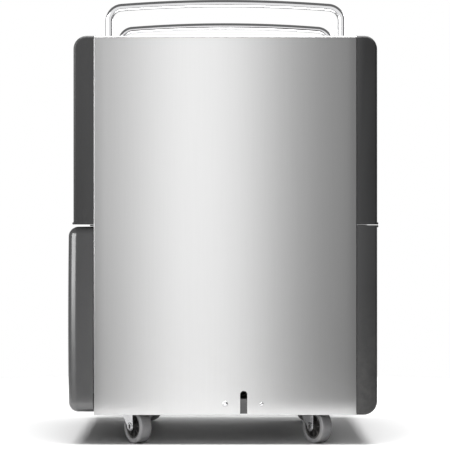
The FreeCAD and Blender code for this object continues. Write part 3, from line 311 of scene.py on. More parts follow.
FINISHES = {
    "brushed_steel": metal("brushed_steel", (0.5, 0.5, 0.5, 1), 0.28, (30.0, 3400.0, 7.0),
                           0.006, 0.035, 0.0, 0.7),
    "galvanised": galvanised("galvanised"),
    "painted_steel": plastic("painted_steel", (0.05, 0.05, 0.051, 1), 0.4, 700.0, 0.00002, 0.15),
    "zinc": metal("zinc", (0.56, 0.56, 0.57, 1), 0.2, (300.0, 300.0, 900.0)),
    "chrome": metal("chrome", (0.8, 0.8, 0.81, 1), 0.05, (60.0, 60.0, 60.0), 0.01, 0.02, 0.0),
    "charcoal_plastic": plastic("charcoal_plastic", (0.022, 0.022, 0.0225, 1), 0.48),
    # The rear covers are the same charcoal plastic as the front one: this darker copy is painted shade.
    "rear_plastic": plastic("rear_plastic", (0.015, 0.015, 0.0155, 1), 0.5),
    "tank_plastic": plastic("tank_plastic", (0.06, 0.06, 0.061, 1), 0.2, 2400.0, 0.00001, 0.05, 1.0),
    "black_plastic": plastic("black_plastic", (0.012, 0.012, 0.012, 1), 0.42),
    "bucket_plastic": plastic("bucket_plastic", (0.55, 0.57, 0.6, 1), 0.4, 900.0, 0.00002, 0.05),
    "filter_mesh": plastic("filter_mesh", (0.05, 0.055, 0.06, 1), 0.6, 3000.0),
    "gloss_fascia": plastic("gloss_fascia", (0.012, 0.012, 0.014, 1), 0.12, 500.0, 0.000002, 0.05),
    "smoked_window": plastic("smoked_window", (0.01, 0.014, 0.018, 1), 0.06, 500.0, 0.000001, 0.03),
    "button_grey": plastic("button_grey", (0.3, 0.31, 0.32, 1), 0.35, 1600.0, 0.00002, 0.05),
    "board_green": plastic("board_green", (0.01, 0.09, 0.03, 1), 0.3, 800.0),
    "aluminium_fins": metal("aluminium_fins", (0.78, 0.79, 0.8, 1), 0.32, (40.0, 900.0, 40.0)),
    "copper": metal("copper", (0.78, 0.4, 0.25, 1), 0.25, (200.0, 700.0, 700.0)),
    "compressor_black": plastic("compressor_black", (0.014, 0.014, 0.015, 1), 0.25, 220.0, 0.00006),
    "rubber": plastic("rubber", (0.02, 0.02, 0.02, 1), 0.65, 1100.0),
    "hose": plastic("hose", (0.1, 0.1, 0.11, 1), 0.5, 900.0),
    "tyre_grey": plastic("tyre_grey", (0.13, 0.13, 0.135, 1), 0.38, 1300.0, 0.00003, 0.25),
    "float_white": plastic("float_white", (0.75, 0.75, 0.72, 1), 0.45, 900.0),
}


def lit_figures():
    """Light from behind a diffuser: a pale blue glow, a little uneven."""
    finish = Finish("lit_figures", Emission_Strength=1.4, Roughness=0.5)
    uneven = finish.noise(finish.place, 900.0)
    glow = finish.blend(uneven, (0.35, 0.75, 0.95, 1.0), (0.55, 0.88, 1.0, 1.0))
    finish.feed(finish.shader.inputs["Emission Color"], glow)
    finish.colour(grey(0.05))
    return finish.material


FINISHES["lit_figures"] = lit_figures()
print(len(FINISHES), "finishes")

# %% [markdown]
# ## Every CAD piece gets its finish
# The record names a material slot for each sub-part, so the finishes are dealt out from there. A CAD node's
# mesh is never changed: only the material on its object is.

# %% Deal out the finishes
SLOT_OF = {part["node"]: part["material_slot"] for part in frame["record"]["subparts"]}
# The rear covers take the darker copy of the charcoal plastic, which is painted shade.
FINISH_OF = dict(SLOT_OF, rear_upper_cover="rear_plastic", rear_lower_cover="rear_plastic",
                 base_pan="painted_steel", front_frame="black_plastic")
for node_name, node in frame["nodes"].items():
    node.data.materials.clear()
    node.data.materials.append(FINISHES[FINISH_OF[node_name]])
print("finishes dealt to", len(SLOT_OF), "pieces")

# %% [markdown]
# ## Making surfaces
# A new skin is a grid of points worked out at once as numpy arrays: a function of two numbers, or a profile
# carried along a path. Neighbouring points make the four-sided faces, and a direction that closes on itself
# wraps round. The finished mesh keeps its place in its points, as a CAD node does.

# %% From arrays to a piece
def grid_faces(rows, columns, wrap_rows=False, wrap_columns=False):
    """Quads (i, j), (i+1, j), (i+1, j+1), (i, j+1) of a grid of rows and columns, wrapping where asked."""
    i, j = np.meshgrid(np.arange(rows if wrap_rows else rows - 1),
                       np.arange(columns if wrap_columns else columns - 1), indexing="ij")
    i2 = (i + 1) % rows
    j2 = (j + 1) % columns
    corners = [i * columns + j, i2 * columns + j, i2 * columns + j2, i * columns + j2]
    return np.stack(corners, -1).reshape(-1, 4).tolist()


def object_from(name, points, faces, finish):
    mesh = bpy.data.meshes.new(name)
    mesh.from_pydata(np.asarray(points, float).reshape(-1, 3).tolist(), [], faces)
    mesh.materials.append(FINISHES[finish])
    thing = bpy.data.objects.new(name, mesh)
    bpy.context.scene.collection.objects.link(thing)
    return thing


def shade(thing, sharp=35.0):
    """Smooth shading that breaks where faces meet at more than an angle."""
    thing.data.polygons.foreach_set("use_smooth", np.ones(len(thing.data.polygons), bool))
    thing.data.set_sharp_from_angle(angle=math.radians(sharp))
    return thing


def settle(thing, merge=0.000002, sharp=35.0):
    """Merges doubles, drops empty faces and turns the rest outwards."""
    work = bmesh.new()
    work.from_mesh(thing.data)
    bmesh.ops.remove_doubles(work, verts=work.verts, dist=merge)
    bmesh.ops.dissolve_degenerate(work, edges=work.edges, dist=merge)
    bmesh.ops.recalc_face_normals(work, faces=work.faces)
    work.to_mesh(thing.data)
    work.free()
    return shade(thing, sharp)


def apply_modifiers(thing):
    """Replaces the mesh by what its modifiers make of it."""
    graph = bpy.context.evaluated_depsgraph_get()
    mesh = bpy.data.meshes.new_from_object(thing.evaluated_get(graph))
    thing.modifiers.clear()
    thing.data = mesh
    return thing


def fit(thing, *node_names):
    """A piece stands for CAD nodes: it rides on the same body, and the nodes are hidden."""
    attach(thing, frame["nodes"][node_names[0]]["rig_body"])
    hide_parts(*node_names)
    print(thing.name, "has", len(thing.data.polygons), "faces")
    return thing


# %% Straight prisms, for cutting and for small solids
def prism(name, outline, start, end, finish, place):
    """An outline of (u, v) points carried from start to end, place turning (u, v, w) into X, Y, Z."""
    count = len(outline)
    u, v = np.asarray(outline, float).T
    ends = [np.stack(place(u, v, np.full(count, w)), -1) for w in (start, end)]
    faces = grid_faces(2, count, wrap_columns=True)
    faces.append(list(range(count)))
    faces.append(list(range(2 * count - 1, count - 1, -1)))
    return settle(object_from(name, ends, faces, finish))


def circle(radius, count=32, middle=(0.0, 0.0)):
    turn = np.linspace(0.0, 2 * np.pi, count, endpoint=False)
    return np.stack([middle[0] + radius * np.cos(turn), middle[1] + radius * np.sin(turn)], -1)


def along_x(u, v, w):
    return w, u, v


def along_y(u, v, w):
    return u, w, v


def along_z(u, v, w):
    return u, v, w


def carve(thing, cutters):
    """Cuts other shapes out of a closed one, then removes them."""
    for cutter in cutters:
        cut = thing.modifiers.new("cut", "BOOLEAN")
        cut.operation = "DIFFERENCE"
        cut.solver = "EXACT"
        cut.object = cutter
    apply_modifiers(thing)
    for cutter in cutters:
        bpy.data.objects.remove(cutter)
    return thing


# %% [markdown]
# ## The steel casing
# One sheet is folded over the machine: side, top, side. Its skin is a function of two numbers, how far along
# the fold and how far from front to rear. The free edges are rolled in a little, so that nobody cuts a hand,
# and the roll draws a fine line round each side. The brushing runs along the fold, so the piece has a UV map
# whose U is across the grain: the shader takes its tangent from there and spreads reflections that way.

# %% The folded sheet
CASING_LOW, CASING_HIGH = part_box("steel_casing")
SHEET = 0.001
FOLD_RADIUS = 0.004
ROLL = 0.0006
ROLL_SHARE = 0.7


def folded_path():
    """Points and outward normals in X and Z: up one side, round the bend, over the top, and down."""
    side_z = near_edges(CASING_LOW.z, CASING_HIGH.z - FOLD_RADIUS, 24)
    side = np.stack([np.full(len(side_z), CASING_HIGH.x), side_z], -1)
    turn = np.linspace(0.0, np.pi / 2, 12)[1:]
    middle = np.array([CASING_HIGH.x - FOLD_RADIUS, CASING_HIGH.z - FOLD_RADIUS])
    outward = np.stack([np.cos(turn), np.sin(turn)], -1)
    mirror = np.array([-1.0, 1.0])
    half_path = np.concatenate([side, middle + FOLD_RADIUS * outward])
    half_normals = np.concatenate([np.tile([1.0, 0.0], (len(side), 1)), outward])
    over_x = np.linspace(middle[0], -middle[0], 24)[1:-1]
    over = np.stack([over_x, np.full(len(over_x), CASING_HIGH.z)], -1)
    path = np.concatenate([half_path, over, (half_path * mirror)[::-1]])
    over_normals = np.tile([0.0, 1.0], (len(over_x), 1))
    normals = np.concatenate([half_normals, over_normals, (half_normals * mirror)[::-1]])
    return path, normals


def edge_roll(distance):
    """How far a full roll would turn in: r - sqrt(r^2 - (r - d)^2) within r of the edge."""
    inside = np.clip(ROLL - distance, 0.0, ROLL)
    return ROLL - np.sqrt(ROLL ** 2 - inside ** 2)


def near_edges(low, high, count):
    """Evenly spaced values, with closer ones inside the roll at both ends."""
    close = ROLL * (1 - np.cos(np.linspace(0.0, np.pi / 2, 7)))
    middle = np.linspace(low + ROLL, high - ROLL, count)
    return np.concatenate([low + close[:-1], middle, (high - close[:-1])[::-1]])


def casing_cutters():
    """The drain slot, a screw hole and a rivet hole in each side, and the four handle holes."""
    slot_y, slot_half, slot_top = 0.0331, 0.00565, 0.0866
    turn = np.linspace(0.0, np.pi, 24)
    arch = np.stack([slot_y + slot_half * np.cos(turn), slot_top - slot_half + slot_half * np.sin(turn)], -1)
    slot = np.concatenate([arch, [[slot_y - slot_half, 0.04], [slot_y + slot_half, 0.04]]])
    across = CASING_HIGH.x
    cutters = [prism("slot_cutter", slot, -across - 0.01, across + 0.01, "zinc", along_x)]
    for y in (0.0035, 0.0616):
        outline = circle(0.0021, 24, (y, 0.0656))
        cutters.append(prism("fixing_cutter", outline, -across - 0.01, across + 0.01, "zinc", along_x))
    for x in (-0.175, 0.175):
        for y in (-0.1847, 0.1919):
            outline = circle(0.0063, 32, (x, y))
            cutters.append(prism("handle_cutter", outline, 0.64, 0.67, "zinc", along_z))
    return cutters


def steel_casing():
    path, normals = folded_path()
    y = near_edges(CASING_LOW.y, CASING_HIGH.y, 30)
    edge_y = np.minimum(y - CASING_LOW.y, CASING_HIGH.y - y)
    inward = np.maximum(edge_roll(path[:, 1] - CASING_LOW.z)[:, None], edge_roll(edge_y)[None, :])
    inward = ROLL_SHARE * inward
    outer = path[:, None, :] - normals[:, None, :] * inward[..., None]
    inner = (path - normals * SHEET)[:, None, :] - normals[:, None, :] * inward[..., None]
    rows, columns = outer.shape[:2]
    skins = [np.stack([skin[..., 0], np.broadcast_to(y, (rows, columns)), skin[..., 1]], -1)
             for skin in (outer, inner[:, ::-1])]
    skins[1][..., 1] = y[::-1]
    faces = grid_faces(rows, 2 * columns, wrap_columns=True)
    left = np.arange(columns - 1)
    for row in (0, rows - 1):
        start = row * 2 * columns
        caps = [start + left, start + left + 1,
                start + 2 * columns - 2 - left, start + 2 * columns - 1 - left]
        faces.extend(np.stack(caps, -1).tolist())
    casing = object_from("brushed_casing", np.concatenate(skins, 1), faces, "brushed_steel")
    return shade(carve(settle(casing), casing_cutters()), 25.0)


def grain_map(thing, name="grain"):
    """A UV map in metres: U is Y, across the grain, and V is the way along the fold."""
    mesh = thing.data
    corners = np.zeros(len(mesh.loops), int)
    mesh.loops.foreach_get("vertex_index", corners)
    places = np.zeros(len(mesh.vertices) * 3)
    mesh.vertices.foreach_get("co", places)
    x, y, z = places.reshape(-1, 3)[corners].T
    layer = mesh.uv_layers.new(name=name)
    layer.data.foreach_set("uv", np.stack([y, z - x], -1).ravel())


casing = steel_casing()
grain_map(casing)
fit(casing, "steel_casing")

# %% [markdown]
# ## Softened edges
# No real edge is perfectly sharp: sheet is deburred and moulds have small radii, and the thin bright line
# where an edge catches the light is what makes a part look solid. A copy of a CAD node's mesh is merged into
# one skin, its flat triangles are joined, and a Bevel modifier rounds its edges.

# %% A copy with rounded edges
def softened(node_name, width, segments=2, angle=32.0):
    thing = bpy.data.objects.new(node_name + "_finished", frame["nodes"][node_name].data.copy())
    bpy.context.scene.collection.objects.link(thing)
    work = bmesh.new()
    work.from_mesh(thing.data)
    bmesh.ops.remove_doubles(work, verts=work.verts, dist=0.000002)
    bmesh.ops.dissolve_limit(work, angle_limit=math.radians(0.3), verts=work.verts, edges=work.edges)
    work.to_mesh(thing.data)
    work.free()
    bevel = thing.modifiers.new("edges", "BEVEL")
    bevel.width = width
    bevel.segments = segments
    bevel.limit_method = "ANGLE"
    bevel.angle_limit = math.radians(angle)
    bevel.use_clamp_overlap = True
    return fit(shade(apply_modifiers(thing), angle), node_name)


CORNERS = ("front_right", "rear_right", "front_left", "rear_left")
SOFT_EDGES = {
    "base_pan": 0.0004, "front_frame": 0.0005, "front_cover": 0.0006, "rear_upper_cover": 0.0006,
    "rear_lower_cover": 0.0006, "intake_grille": 0.0005, "control_panel": 0.0003, "power_inlet": 0.0003,
    "power_rocker": 0.0004, "tank_lid": 0.0005, "tank_bucket": 0.0005, "drip_tray": 0.0004,
    "fan_shroud": 0.0004, "caster_plates": 0.0003, "caster_bolts": 0.0002, "handle_nuts": 0.0003,
    "drain_nipple": 0.0002,
}
SOFT_EDGES.update({"button_" + key: 0.0003 for key in ("power", "fan", "down", "up")})
SOFT_EDGES.update({"caster_fork_" + corner: 0.0004 for corner in CORNERS})
SOFT_EDGES.update({"caster_hub_" + corner: 0.0004 for corner in CORNERS})
for node_name, width in SOFT_EDGES.items():
    softened(node_name, width)

# %% [markdown]
# ## The tank's face
# The tank is a blown moulding with soft shoulders. An inner rectangle is pushed outwards along its own
# outline while it falls back along a quarter circle, so one formula makes all four edges and corners. The
# front swells by a millimetre, as a thin panel does when it leaves the mould, and the finger grip is sunk
# into the same skin, so that its lip is rounded without any cutting. Solidify then gives the wall.

# %% One skin for the tank's face
TANK_LOW, TANK_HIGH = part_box("tank_front")
SHOULDER = 0.016
SWELL = 0.0011
GRIP_MIDDLE = 0.288
GRIP_HALF = (0.062, 0.016)
GRIP_CORNER = 0.010
GRIP_DEPTH = 0.021


def tank_front_y(z):
    """Front face: foremost at half its height, and back by swell times (z/half)^2 above and below."""
    middle = (TANK_LOW.z + TANK_HIGH.z) / 2
    return TANK_LOW.y + SWELL * ((z - middle) / (TANK_HIGH.z - middle)) ** 2


def grip_depth(x, z):
    """Depth of the grip from the distance to its rounded outline: two quarter circles and a steep wall."""
    across = np.abs(x) - GRIP_HALF[0] + GRIP_CORNER
    up = np.abs(z - GRIP_MIDDLE) - GRIP_HALF[1] + GRIP_CORNER
    outside = np.hypot(np.maximum(across, 0.0), np.maximum(up, 0.0))
    distance = outside + np.minimum(np.maximum(across, up), 0.0) - GRIP_CORNER
    t = np.clip(-distance / 0.0062, 0.0, 1.0)
    return GRIP_DEPTH * t ** 2 * (3 - 2 * t)


def with_detail(low, high, coarse, start, end, fine):
    """Values from low to high, with closer ones between start and end."""
    before = np.linspace(low, start, coarse, endpoint=False)
    after = np.linspace(end, high, coarse + 1)[1:]
    return np.concatenate([before, np.linspace(start, end, fine), after])


def tank_face():
    half = TANK_HIGH.x - SHOULDER
    xs = with_detail(-half, half, 8, -0.065, 0.065, 110)
    zs = with_detail(TANK_LOW.z + SHOULDER, TANK_HIGH.z - SHOULDER, 12, 0.269, 0.307, 44)
    grid_x, grid_z = np.meshgrid(xs, zs, indexing="ij")
    flat_y = tank_front_y(grid_z)
    front = np.stack([grid_x, flat_y + grip_depth(grid_x, grid_z), grid_z], -1)
    turn = np.linspace(0.0, np.pi / 2, 9)
    sides = [(xs, np.full(len(xs), zs[0]), -90.0), (np.full(len(zs), xs[-1]), zs, 0.0),
             (xs[::-1], np.full(len(xs), zs[-1]), 90.0), (np.full(len(zs), xs[0]), zs[::-1], 180.0)]
    edge, outward = [], []
    for x, z, heading in sides:
        corner = math.radians(heading) + turn
        edge.append(np.stack([x, z], -1))
        outward.append(np.tile([math.cos(corner[0]), math.sin(corner[0])], (len(x), 1)))
        edge.append(np.tile(edge[-1][-1], (len(turn) - 2, 1)))
        outward.append(np.stack([np.cos(corner), np.sin(corner)], -1)[1:-1])
    edge = np.concatenate(edge)
    outward = np.concatenate(outward)
    arc = np.linspace(0.0, np.pi / 2, 14)
    reach = np.concatenate([SHOULDER * np.sin(arc), np.full(4, SHOULDER)])
    fall = SHOULDER * (1 - np.cos(arc))
    start_y = tank_front_y(edge[:, 1])
    ring_y = start_y[None, :] + fall[:, None]
    wall = np.linspace(0.0, 1.0, 5)[1:, None]
    ring_y = np.concatenate([ring_y, ring_y[-1] * (1 - wall) + TANK_HIGH.y * wall])
    spread = edge[None] + outward[None] * reach[:, None, None]
    rings = np.stack([spread[..., 0], ring_y, spread[..., 1]], -1)
    faces = grid_faces(*front.shape[:2])
    shift = front.shape[0] * front.shape[1]
    faces.extend((np.array(grid_faces(len(reach), len(edge), wrap_columns=True)) + shift).tolist())
    points = np.concatenate([front.reshape(-1, 3), rings.reshape(-1, 3)])
    return settle(object_from("tank_face", points, faces, "tank_plastic"), 0.000005, 60.0)


def faces_front(thing):
    """True when the skin's largest face looks towards -Y."""
    mesh = thing.data
    areas = np.zeros(len(mesh.polygons))
    mesh.polygons.foreach_get("area", areas)
    return mesh.polygons[int(areas.argmax())].normal.y < 0


def join(pieces):
    """One object out of several, kept in the first one's name and material."""
    work = bmesh.new()
    for piece in pieces:
        work.from_mesh(piece.data)
    work.to_mesh(pieces[0].data)
    work.free()
    for piece in pieces[1:]:
        bpy.data.objects.remove(piece)
    return pieces[0]


tank = tank_face()
print("the tank's skin faces front:", faces_front(tank))
wall = tank.modifiers.new("wall", "SOLIDIFY")
wall.thickness = 0.0018
wall.offset = -1.0
apply_modifiers(tank)
bosses = [prism("boss", circle(0.007, 32, (x, z)), TANK_LOW.y + 0.002, -0.2222, "tank_plastic", along_y)
          for x in (-0.15, 0.15) for z in (0.11, 0.29)]
tank = shade(join([tank] + bosses), 40.0)
fit(tank, "tank_front")

# %% [markdown]
# ## The handles
# Each handle is one bent tube: a leg, a bend, a long gentle bow, a bend and a leg. The path is three arcs and
# two lines, and the tube is a circle carried along it. The chrome mirrors the studio, so the circle needs
# enough points to stay round in a reflection.

# %% A tube along a path in the Y and Z plane
HANDLE_TOP = 0.717
TUBE = 0.006
HANDLE_ENDS = (-0.1847, 0.1919)
BEND_RADIUS = 0.022
BOW = 0.0065
HANDLE_FOOT = 0.638


def handle_line():
    """Half the bar as points in Y and Z from the middle: an arc of the bow, an arc of the bend, a leg."""
    half = (HANDLE_ENDS[1] - HANDLE_ENDS[0]) / 2 - BEND_RADIUS
    slope = 2 * math.atan(BOW / half)
    crown = HANDLE_TOP - TUBE
    shoulder = crown - BOW
    turn = math.pi / 2 - slope
    reach = half + BEND_RADIUS * math.cos(turn)
    drop = crown - shoulder
    radius = (reach ** 2 + drop ** 2) / (2 * drop)
    angle = np.linspace(0.0, math.asin(reach / radius), 40)
    bow = np.stack([radius * np.sin(angle), crown - radius * (1 - np.cos(angle))], -1)
    bend_turn = np.linspace(turn, 0.0, 20)[1:]
    leg_y = half + BEND_RADIUS
    leg_top = shoulder - BEND_RADIUS * math.sin(turn)
    bend = np.stack([leg_y - BEND_RADIUS * (1 - np.cos(bend_turn)),
                     leg_top + BEND_RADIUS * np.sin(bend_turn)], -1)
    leg = np.stack([np.full(6, leg_y), np.linspace(leg_top, HANDLE_FOOT, 7)[1:]], -1)
    return np.concatenate([bow, bend, leg])


def handle(x):
    half = handle_line()
    line = np.concatenate([(half * [-1.0, 1.0])[::-1], half[1:]])
    line[:, 0] += sum(HANDLE_ENDS) / 2
    ahead = np.gradient(line, axis=0)
    ahead /= np.linalg.norm(ahead, axis=1)[:, None]
    normal = np.stack([-ahead[:, 1], ahead[:, 0]], -1)
    turn = np.linspace(0.0, 2 * np.pi, 40, endpoint=False)
    out = TUBE * np.sin(turn)[None, :, None] * normal[:, None, :]
    around = np.broadcast_to(x + TUBE * np.cos(turn), out.shape[:2])
    points = np.stack([around, line[:, None, 0] + out[..., 0], line[:, None, 1] + out[..., 1]], -1)
    faces = grid_faces(len(line), len(turn), wrap_columns=True)
    last = (len(line) - 1) * len(turn)
    faces += [list(range(len(turn))), list(range(last + len(turn) - 1, last - 1, -1))]
    return points, faces


CHROMED = []
for side, x in (("right", 0.175), ("left", -0.175)):
    points, faces = handle(x)
    tube = settle(object_from("chromed_handle_" + side, points, faces, "chrome"))
    fit(tube, "handle_" + side)
    CHROMED.append(tube)

# %% [markdown]
# ## The tyres
# A castor's tyre is a ring of grey rubber, moulded on the hub. Its section is a closed curve: a tread that is
# slightly crowned, rounded shoulders, and sunk side walls with a fine step where the mould halves met. The
# section is turned about the axle, and then about the castor's swivel axis.

# %% A closed section turned about the axle
CASTERS = {"front_right": (0.17, -0.148, 35.0), "rear_right": (0.17, 0.142, 35.0),
           "front_left": (-0.17, -0.148, 49.0), "rear_left": (-0.17, 0.142, 35.0)}
TRAIL = 0.018
WHEEL = 0.0275
BORE = 0.00355
AXLE_END = 0.0156
DISC = 0.0004


def tyre_section():
    """Half the section as (across, radius): tread, shoulder of radius 2.4 mm, flat side wall, bore."""
    turn = np.linspace(0.0, np.pi / 2, 8)
    shoulder = np.stack([0.0075 + 0.0024 * np.sin(turn), 0.0249 + 0.0024 * np.cos(turn)], -1)
    tread = [[0.0, WHEEL], [0.003, WHEEL - 0.00003], [0.006, WHEEL - 0.00015]]
    side = [[0.0099, 0.0246], [0.0099, 0.0222], [0.0099, 0.0206], [0.0096, 0.02]]
    return np.concatenate([tread, shoulder, side])


def tyre(name):
    half = tyre_section()
    section = np.concatenate([half, (half * [-1.0, 1.0])[::-1][:-1]])
    turn = np.linspace(0.0, 2 * np.pi, 72, endpoint=False)
    u = TRAIL + section[None, :, 1] * np.cos(turn)[:, None]
    w = WHEEL + section[None, :, 1] * np.sin(turn)[:, None]
    v = np.broadcast_to(section[:, 0], u.shape)
    x, y, angle = CASTERS[name]
    c, s = math.cos(math.radians(angle)), math.sin(math.radians(angle))
    points = np.stack([x + c * u - s * v, y + s * u + c * v, w], -1)
    return object_from("tyre_" + name, points, grid_faces(len(turn), len(section), True, True), "tyre_grey")


def painted_bore_shade(name):
    """Painted shade for the hollow axle: a thin black disc at each end stands for the dark seen down its
    bore.
    """
    turn = np.linspace(0.0, 2 * np.pi, 32, endpoint=False)
    x, y, angle = CASTERS[name]
    c, s = math.cos(math.radians(angle)), math.sin(math.radians(angle))
    u = TRAIL + BORE * np.cos(turn)
    w = WHEEL + BORE * np.sin(turn)
    levels = (-AXLE_END, -AXLE_END + DISC, AXLE_END - DISC, AXLE_END)
    discs = [np.stack([x + c * u - s * v, y + s * u + c * v, w], -1) for v in levels]
    count = len(turn)
    faces = []
    for near in (0, 2):
        faces += (np.array(grid_faces(2, count, wrap_columns=True)) + near * count).tolist()
        faces += [list(range(start * count, (start + 1) * count)) for start in (near, near + 1)]
    return settle(object_from("bore_shade_disc_" + name, np.concatenate(discs), faces, "black_plastic"))


for corner in CORNERS:
    fit(settle(tyre(corner), sharp=30.0), "caster_tyre_" + corner)
    # A black disc at each end of the axle is painted shade, the dark down its bore.
    bore = painted_bore_shade(corner)
    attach(bore, "fork_" + corner)

# %% [markdown]
# ## The fixings low on each side
# The screw is a pan head with a cross recess and the rivet is a blind one: a domed rim round the broken end
# of its mandrel. Both are profiles turned about an axis. What makes such a small thing read is its edge,
# where the dome turns away from the lamp and mirrors the dark of the studio.

# %% A profile turned about an axis along X
def turned_piece(name, profile, middle, side, finish):
    """Rings of (radius, height): y = r cos t, z = r sin t, and x is the height away from the side face."""
    radius, height = (np.array(profile) * 0.001).T
    turn = np.linspace(0.0, 2 * np.pi, 40, endpoint=False)
    y = middle[0] + radius[:, None] * np.cos(turn)
    z = middle[1] + radius[:, None] * np.sin(turn)
    x = np.broadcast_to(side * (CASING_HIGH.x + height[:, None]), y.shape)
    faces = grid_faces(len(radius), len(turn), wrap_columns=True)
    return settle(object_from(name, np.stack([x, y, z], -1), faces, finish), sharp=40.0)


SCREW = [(0, 1.6), (1.6, 1.55), (2.8, 1.36), (3.7, 1.0), (4.25, 0.55), (4.5, 0.12), (4.42, 0.0), (2.0, 0.0),
         (2.0, -6.0), (0, -6.0)]
RIVET = [(0, 0.62), (0.6, 0.56), (0.95, 0.3), (1.0, -0.5), (1.35, -0.5), (1.45, 0.7), (1.8, 0.98),
         (2.3, 0.95), (2.8, 0.68), (3.12, 0.28), (3.2, 0.0), (2.0, 0.0), (2.0, -5.0), (0, -5.0)]


def cross_cutters(side):
    """Two blades of a cross recess, sunk 1.2 mm into the head."""
    start, end = sorted((side * (CASING_HIGH.x + 0.0004), side * (CASING_HIGH.x + 0.003)))
    y, z = 0.0035, 0.0656
    blades = []
    for half_y, half_z in ((0.0025, 0.00048), (0.00048, 0.0025)):
        outline = [(y - half_y, z - half_z), (y + half_y, z - half_z), (y + half_y, z + half_z),
                   (y - half_y, z + half_z)]
        blades.append(prism("blade", outline, start, end, "zinc", along_x))
    return blades


screws = [carve(turned_piece("cross_screws", SCREW, (0.0035, 0.0656), side, "zinc"), cross_cutters(side))
          for side in (1, -1)]
fit(shade(join(screws), 40.0), "casing_screws")
rivets = [turned_piece("blind_rivets", RIVET, (0.0616, 0.0656), side, "zinc") for side in (1, -1)]
fit(shade(join(rivets), 40.0), "casing_rivets")

# %% [markdown]
# ## Marks on the controls
# The display shows a humidity reading in seven-segment figures, and each button carries a plain mark: power,
# fan, down and up. A segment is a flat hexagon, and the marks are printed a tenth of a millimetre proud.

# %% Seven-segment figures
DIGITS = {"5": "afgcd", "0": "abcdef"}
SEGMENTS = {"a": (0, 1, 0), "b": (0.5, 0.5, 90), "c": (0.5, -0.5, 90), "d": (0, -1, 0), "e": (-0.5, -0.5, 90),
            "f": (-0.5, 0.5, 90), "g": (0, 0, 0)}
SEGMENT_LONG = 0.0085


def segment(middle_x, middle_z, turn):
    """A hexagon with pointed ends, turned level or upright."""
    half, thick = SEGMENT_LONG * 0.45, 0.00075
    shape = np.array([[-half, 0], [-half + thick, thick], [half - thick, thick], [half, 0],
                      [half - thick, -thick], [-half + thick, -thick]])
    if turn:
        shape = shape[:, ::-1]
    return shape + [middle_x, middle_z]


def print_on(name, outlines, node_name, finish, proud=0.0001):
    """Flat marks on the front face of a node, riding with it."""
    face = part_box(node_name)[0].y
    marks = [prism(name, outline, face - proud, face + proud, finish, along_y) for outline in outlines]
    thing = join(marks)
    thing.name = name
    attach(thing, frame["nodes"][node_name]["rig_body"])


window_low, window_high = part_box("display_window")
figures = []
for place, digit in enumerate("50"):
    middle_x = (window_low.x + window_high.x) / 2 + (place - 0.5) * 1.75 * SEGMENT_LONG
    middle_z = (window_low.z + window_high.z) / 2
    for key in DIGITS[digit]:
        across, up, turn = SEGMENTS[key]
        figures.append(segment(middle_x + across * SEGMENT_LONG, middle_z + up * SEGMENT_LONG, turn))
print_on("display_figures", figures, "display_window", "lit_figures")


# %% Button marks
def button_middle(key):
    low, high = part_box("button_" + key)
    return (low.x + high.x) / 2, (low.z + high.z) / 2


def power_mark(x, z):
    turn = np.radians(np.linspace(130.0, 410.0, 30))
    ring = [np.stack([x + r * np.cos(t), z + r * np.sin(t)], -1)
            for r, t in ((0.0032, turn), (0.0026, turn[::-1]))]
    bar = [(x - 0.0003, z + 0.0008), (x + 0.0003, z + 0.0008),
           (x + 0.0003, z + 0.0038), (x - 0.0003, z + 0.0038)]
    return [np.concatenate(ring), bar]


def fan_mark(x, z):
    """Three petals: r = 0.7 + 2.7 cos^2(1.5 t), in millimetres."""
    turn = np.linspace(0.0, 2 * np.pi, 90, endpoint=False)
    r = 0.0007 + 0.0027 * np.cos(1.5 * turn) ** 2
    return [np.stack([x + r * np.sin(turn), z + r * np.cos(turn)], -1)]


def arrow_mark(x, z, up):
    return [[(x - 0.003, z - up * 0.0014), (x, z + up * 0.0024), (x + 0.003, z - up * 0.0014)]]


print_on("mark_power", power_mark(*button_middle("power")), "button_power", "gloss_fascia")
print_on("mark_fan", fan_mark(*button_middle("fan")), "button_fan", "gloss_fascia")
print_on("mark_down", arrow_mark(*button_middle("down"), -1), "button_down", "gloss_fascia")
print_on("mark_up", arrow_mark(*button_middle("up"), 1), "button_up", "gloss_fascia")

# %% [markdown]
# ## Studio
# A wide pale floor stands in plain white air: the air is white to the camera, so that no horizon shows, and
# dim to everything else, so that it doesn't wash the metal out. What a brushed panel shows is the lamp that
# it mirrors, spread sideways by its upright grain, so the place and the width of one soft lamp in front of
# each side panel set the bright band down the steel. Chrome needs something of its own to mirror, so a wide
# white card stands out to each side for the handles alone, and above the card they mirror the dark.

# %% The floor
def round_floor(middle=-0.3, radius=0.9, rings=5, spokes=96):
    """Rings of points at growing radius: x = middle + r cos t, y = r sin t, all at z = 0."""
    r = np.linspace(0.02, radius, rings)[:, None]
    turn = np.linspace(0.0, 2 * np.pi, spokes, endpoint=False)[None]
    points = np.stack([middle + r * np.cos(turn), r * np.sin(turn), np.zeros((rings, spokes))], -1)
    faces = grid_faces(rings, spokes, wrap_columns=True) + [list(range(spokes))]
    finish = Finish("studio_white", Roughness=0.7)
    finish.colour(finish.blend(finish.noise(finish.place, 3.0), grey(0.9), grey(0.93)))
    FINISHES["studio_white"] = finish.material
    floor = settle(object_from("studio_floor", points, faces, "studio_white"))
    return floor


floor = round_floor()


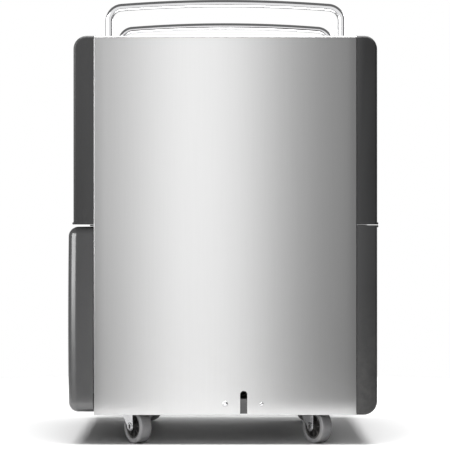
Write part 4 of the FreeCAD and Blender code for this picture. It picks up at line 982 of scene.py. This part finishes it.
# %% Lamps
def lamp(name, place, target, width, height, power, skips=(), only=()):
    """A soft rectangular lamp at a place, aimed at a target. It can skip some pieces, or light only some."""
    data = bpy.data.lights.new(name, "AREA")
    data.shape = "RECTANGLE"
    data.size = width
    data.size_y = height
    data.energy = power
    light = bpy.data.objects.new(name, data)
    light.location = place
    light.visible_camera = False
    aim = np.array(target, float) - np.array(place, float)
    light.rotation_euler = Vector(aim).to_track_quat("-Z", "Y").to_euler()
    bpy.context.scene.collection.objects.link(light)
    if skips or only:
        flagged = bpy.data.collections.new(name + "_flags")
        light.light_linking.receiver_collection = flagged
        for thing in (*skips, *only):
            flagged.objects.link(thing)
        for entry in flagged.collection_objects:
            entry.light_linking.link_state = "EXCLUDE" if skips else "INCLUDE"


lamp("panel_lamp", (0.8, -0.045, 0.4), (0.2, -0.045, 0.4), 0.23, 1.0, 1.6, skips=CHROMED)
lamp("far_panel_lamp", (-0.9, -0.045, 0.4), (-0.2, -0.045, 0.4), 0.23, 1.0, 1.8, skips=CHROMED)
lamp("front_lamp", (1.35, -1.9, 0.85), (0.2, -0.24, 0.5), 2.0, 1.5, 56.0, skips=[floor])
lamp("rear_lamp", (-1.6, 2.0, 1.2), (0.0, 0.2, 0.4), 1.4, 1.2, 20.0, skips=[casing])
lamp("top_lamp", (0.3, 0.0, 2.6), (0.0, 0.0, 0.0), 2.4, 1.6, 135.0, skips=[*CHROMED, tank])
for side in (1, -1):
    lamp("chrome_card", (side * 1.4, 0.0, 0.55), (side * 0.2, 0.0, 0.55), 3.6, 1.9, 17.0, only=CHROMED)

AIR = 0.16


def studio_air():
    """White to the camera, dim to all other rays."""
    world = bpy.data.worlds.new("studio_air")
    bpy.context.scene.world = world
    world.use_nodes = True
    graph = Graph(world.node_tree)
    seen = graph.add("ShaderNodeLightPath").outputs["Is Camera Ray"]
    background = world.node_tree.nodes["Background"]
    background.inputs["Color"].default_value = grey(1.0)
    graph.feed(background.inputs["Strength"], graph.ramp(seen, 0.0, 1.0, AIR, 1.0))


studio_air()
bpy.context.scene.view_settings.view_transform = "Standard"

# %% [markdown]
# ## Camera
# A long lens stands three metres from the side panel, at half the machine's height and dead level, so that
# the uprights stay upright and the panel is seen square on.

# %% The camera
CAMERA_PLACE = (3.2, 0.0032, 0.352)
LENS = 149.3


def side_camera():
    data = bpy.data.cameras.new("camera")
    data.lens = LENS
    data.sensor_width = 36.0
    data.clip_end = 50.0
    camera = bpy.data.objects.new("camera", data)
    camera.location = CAMERA_PLACE
    camera.rotation_euler = (math.pi / 2, 0.0, math.pi / 2)
    bpy.context.scene.collection.objects.link(camera)
    bpy.context.scene.camera = camera


side_camera()
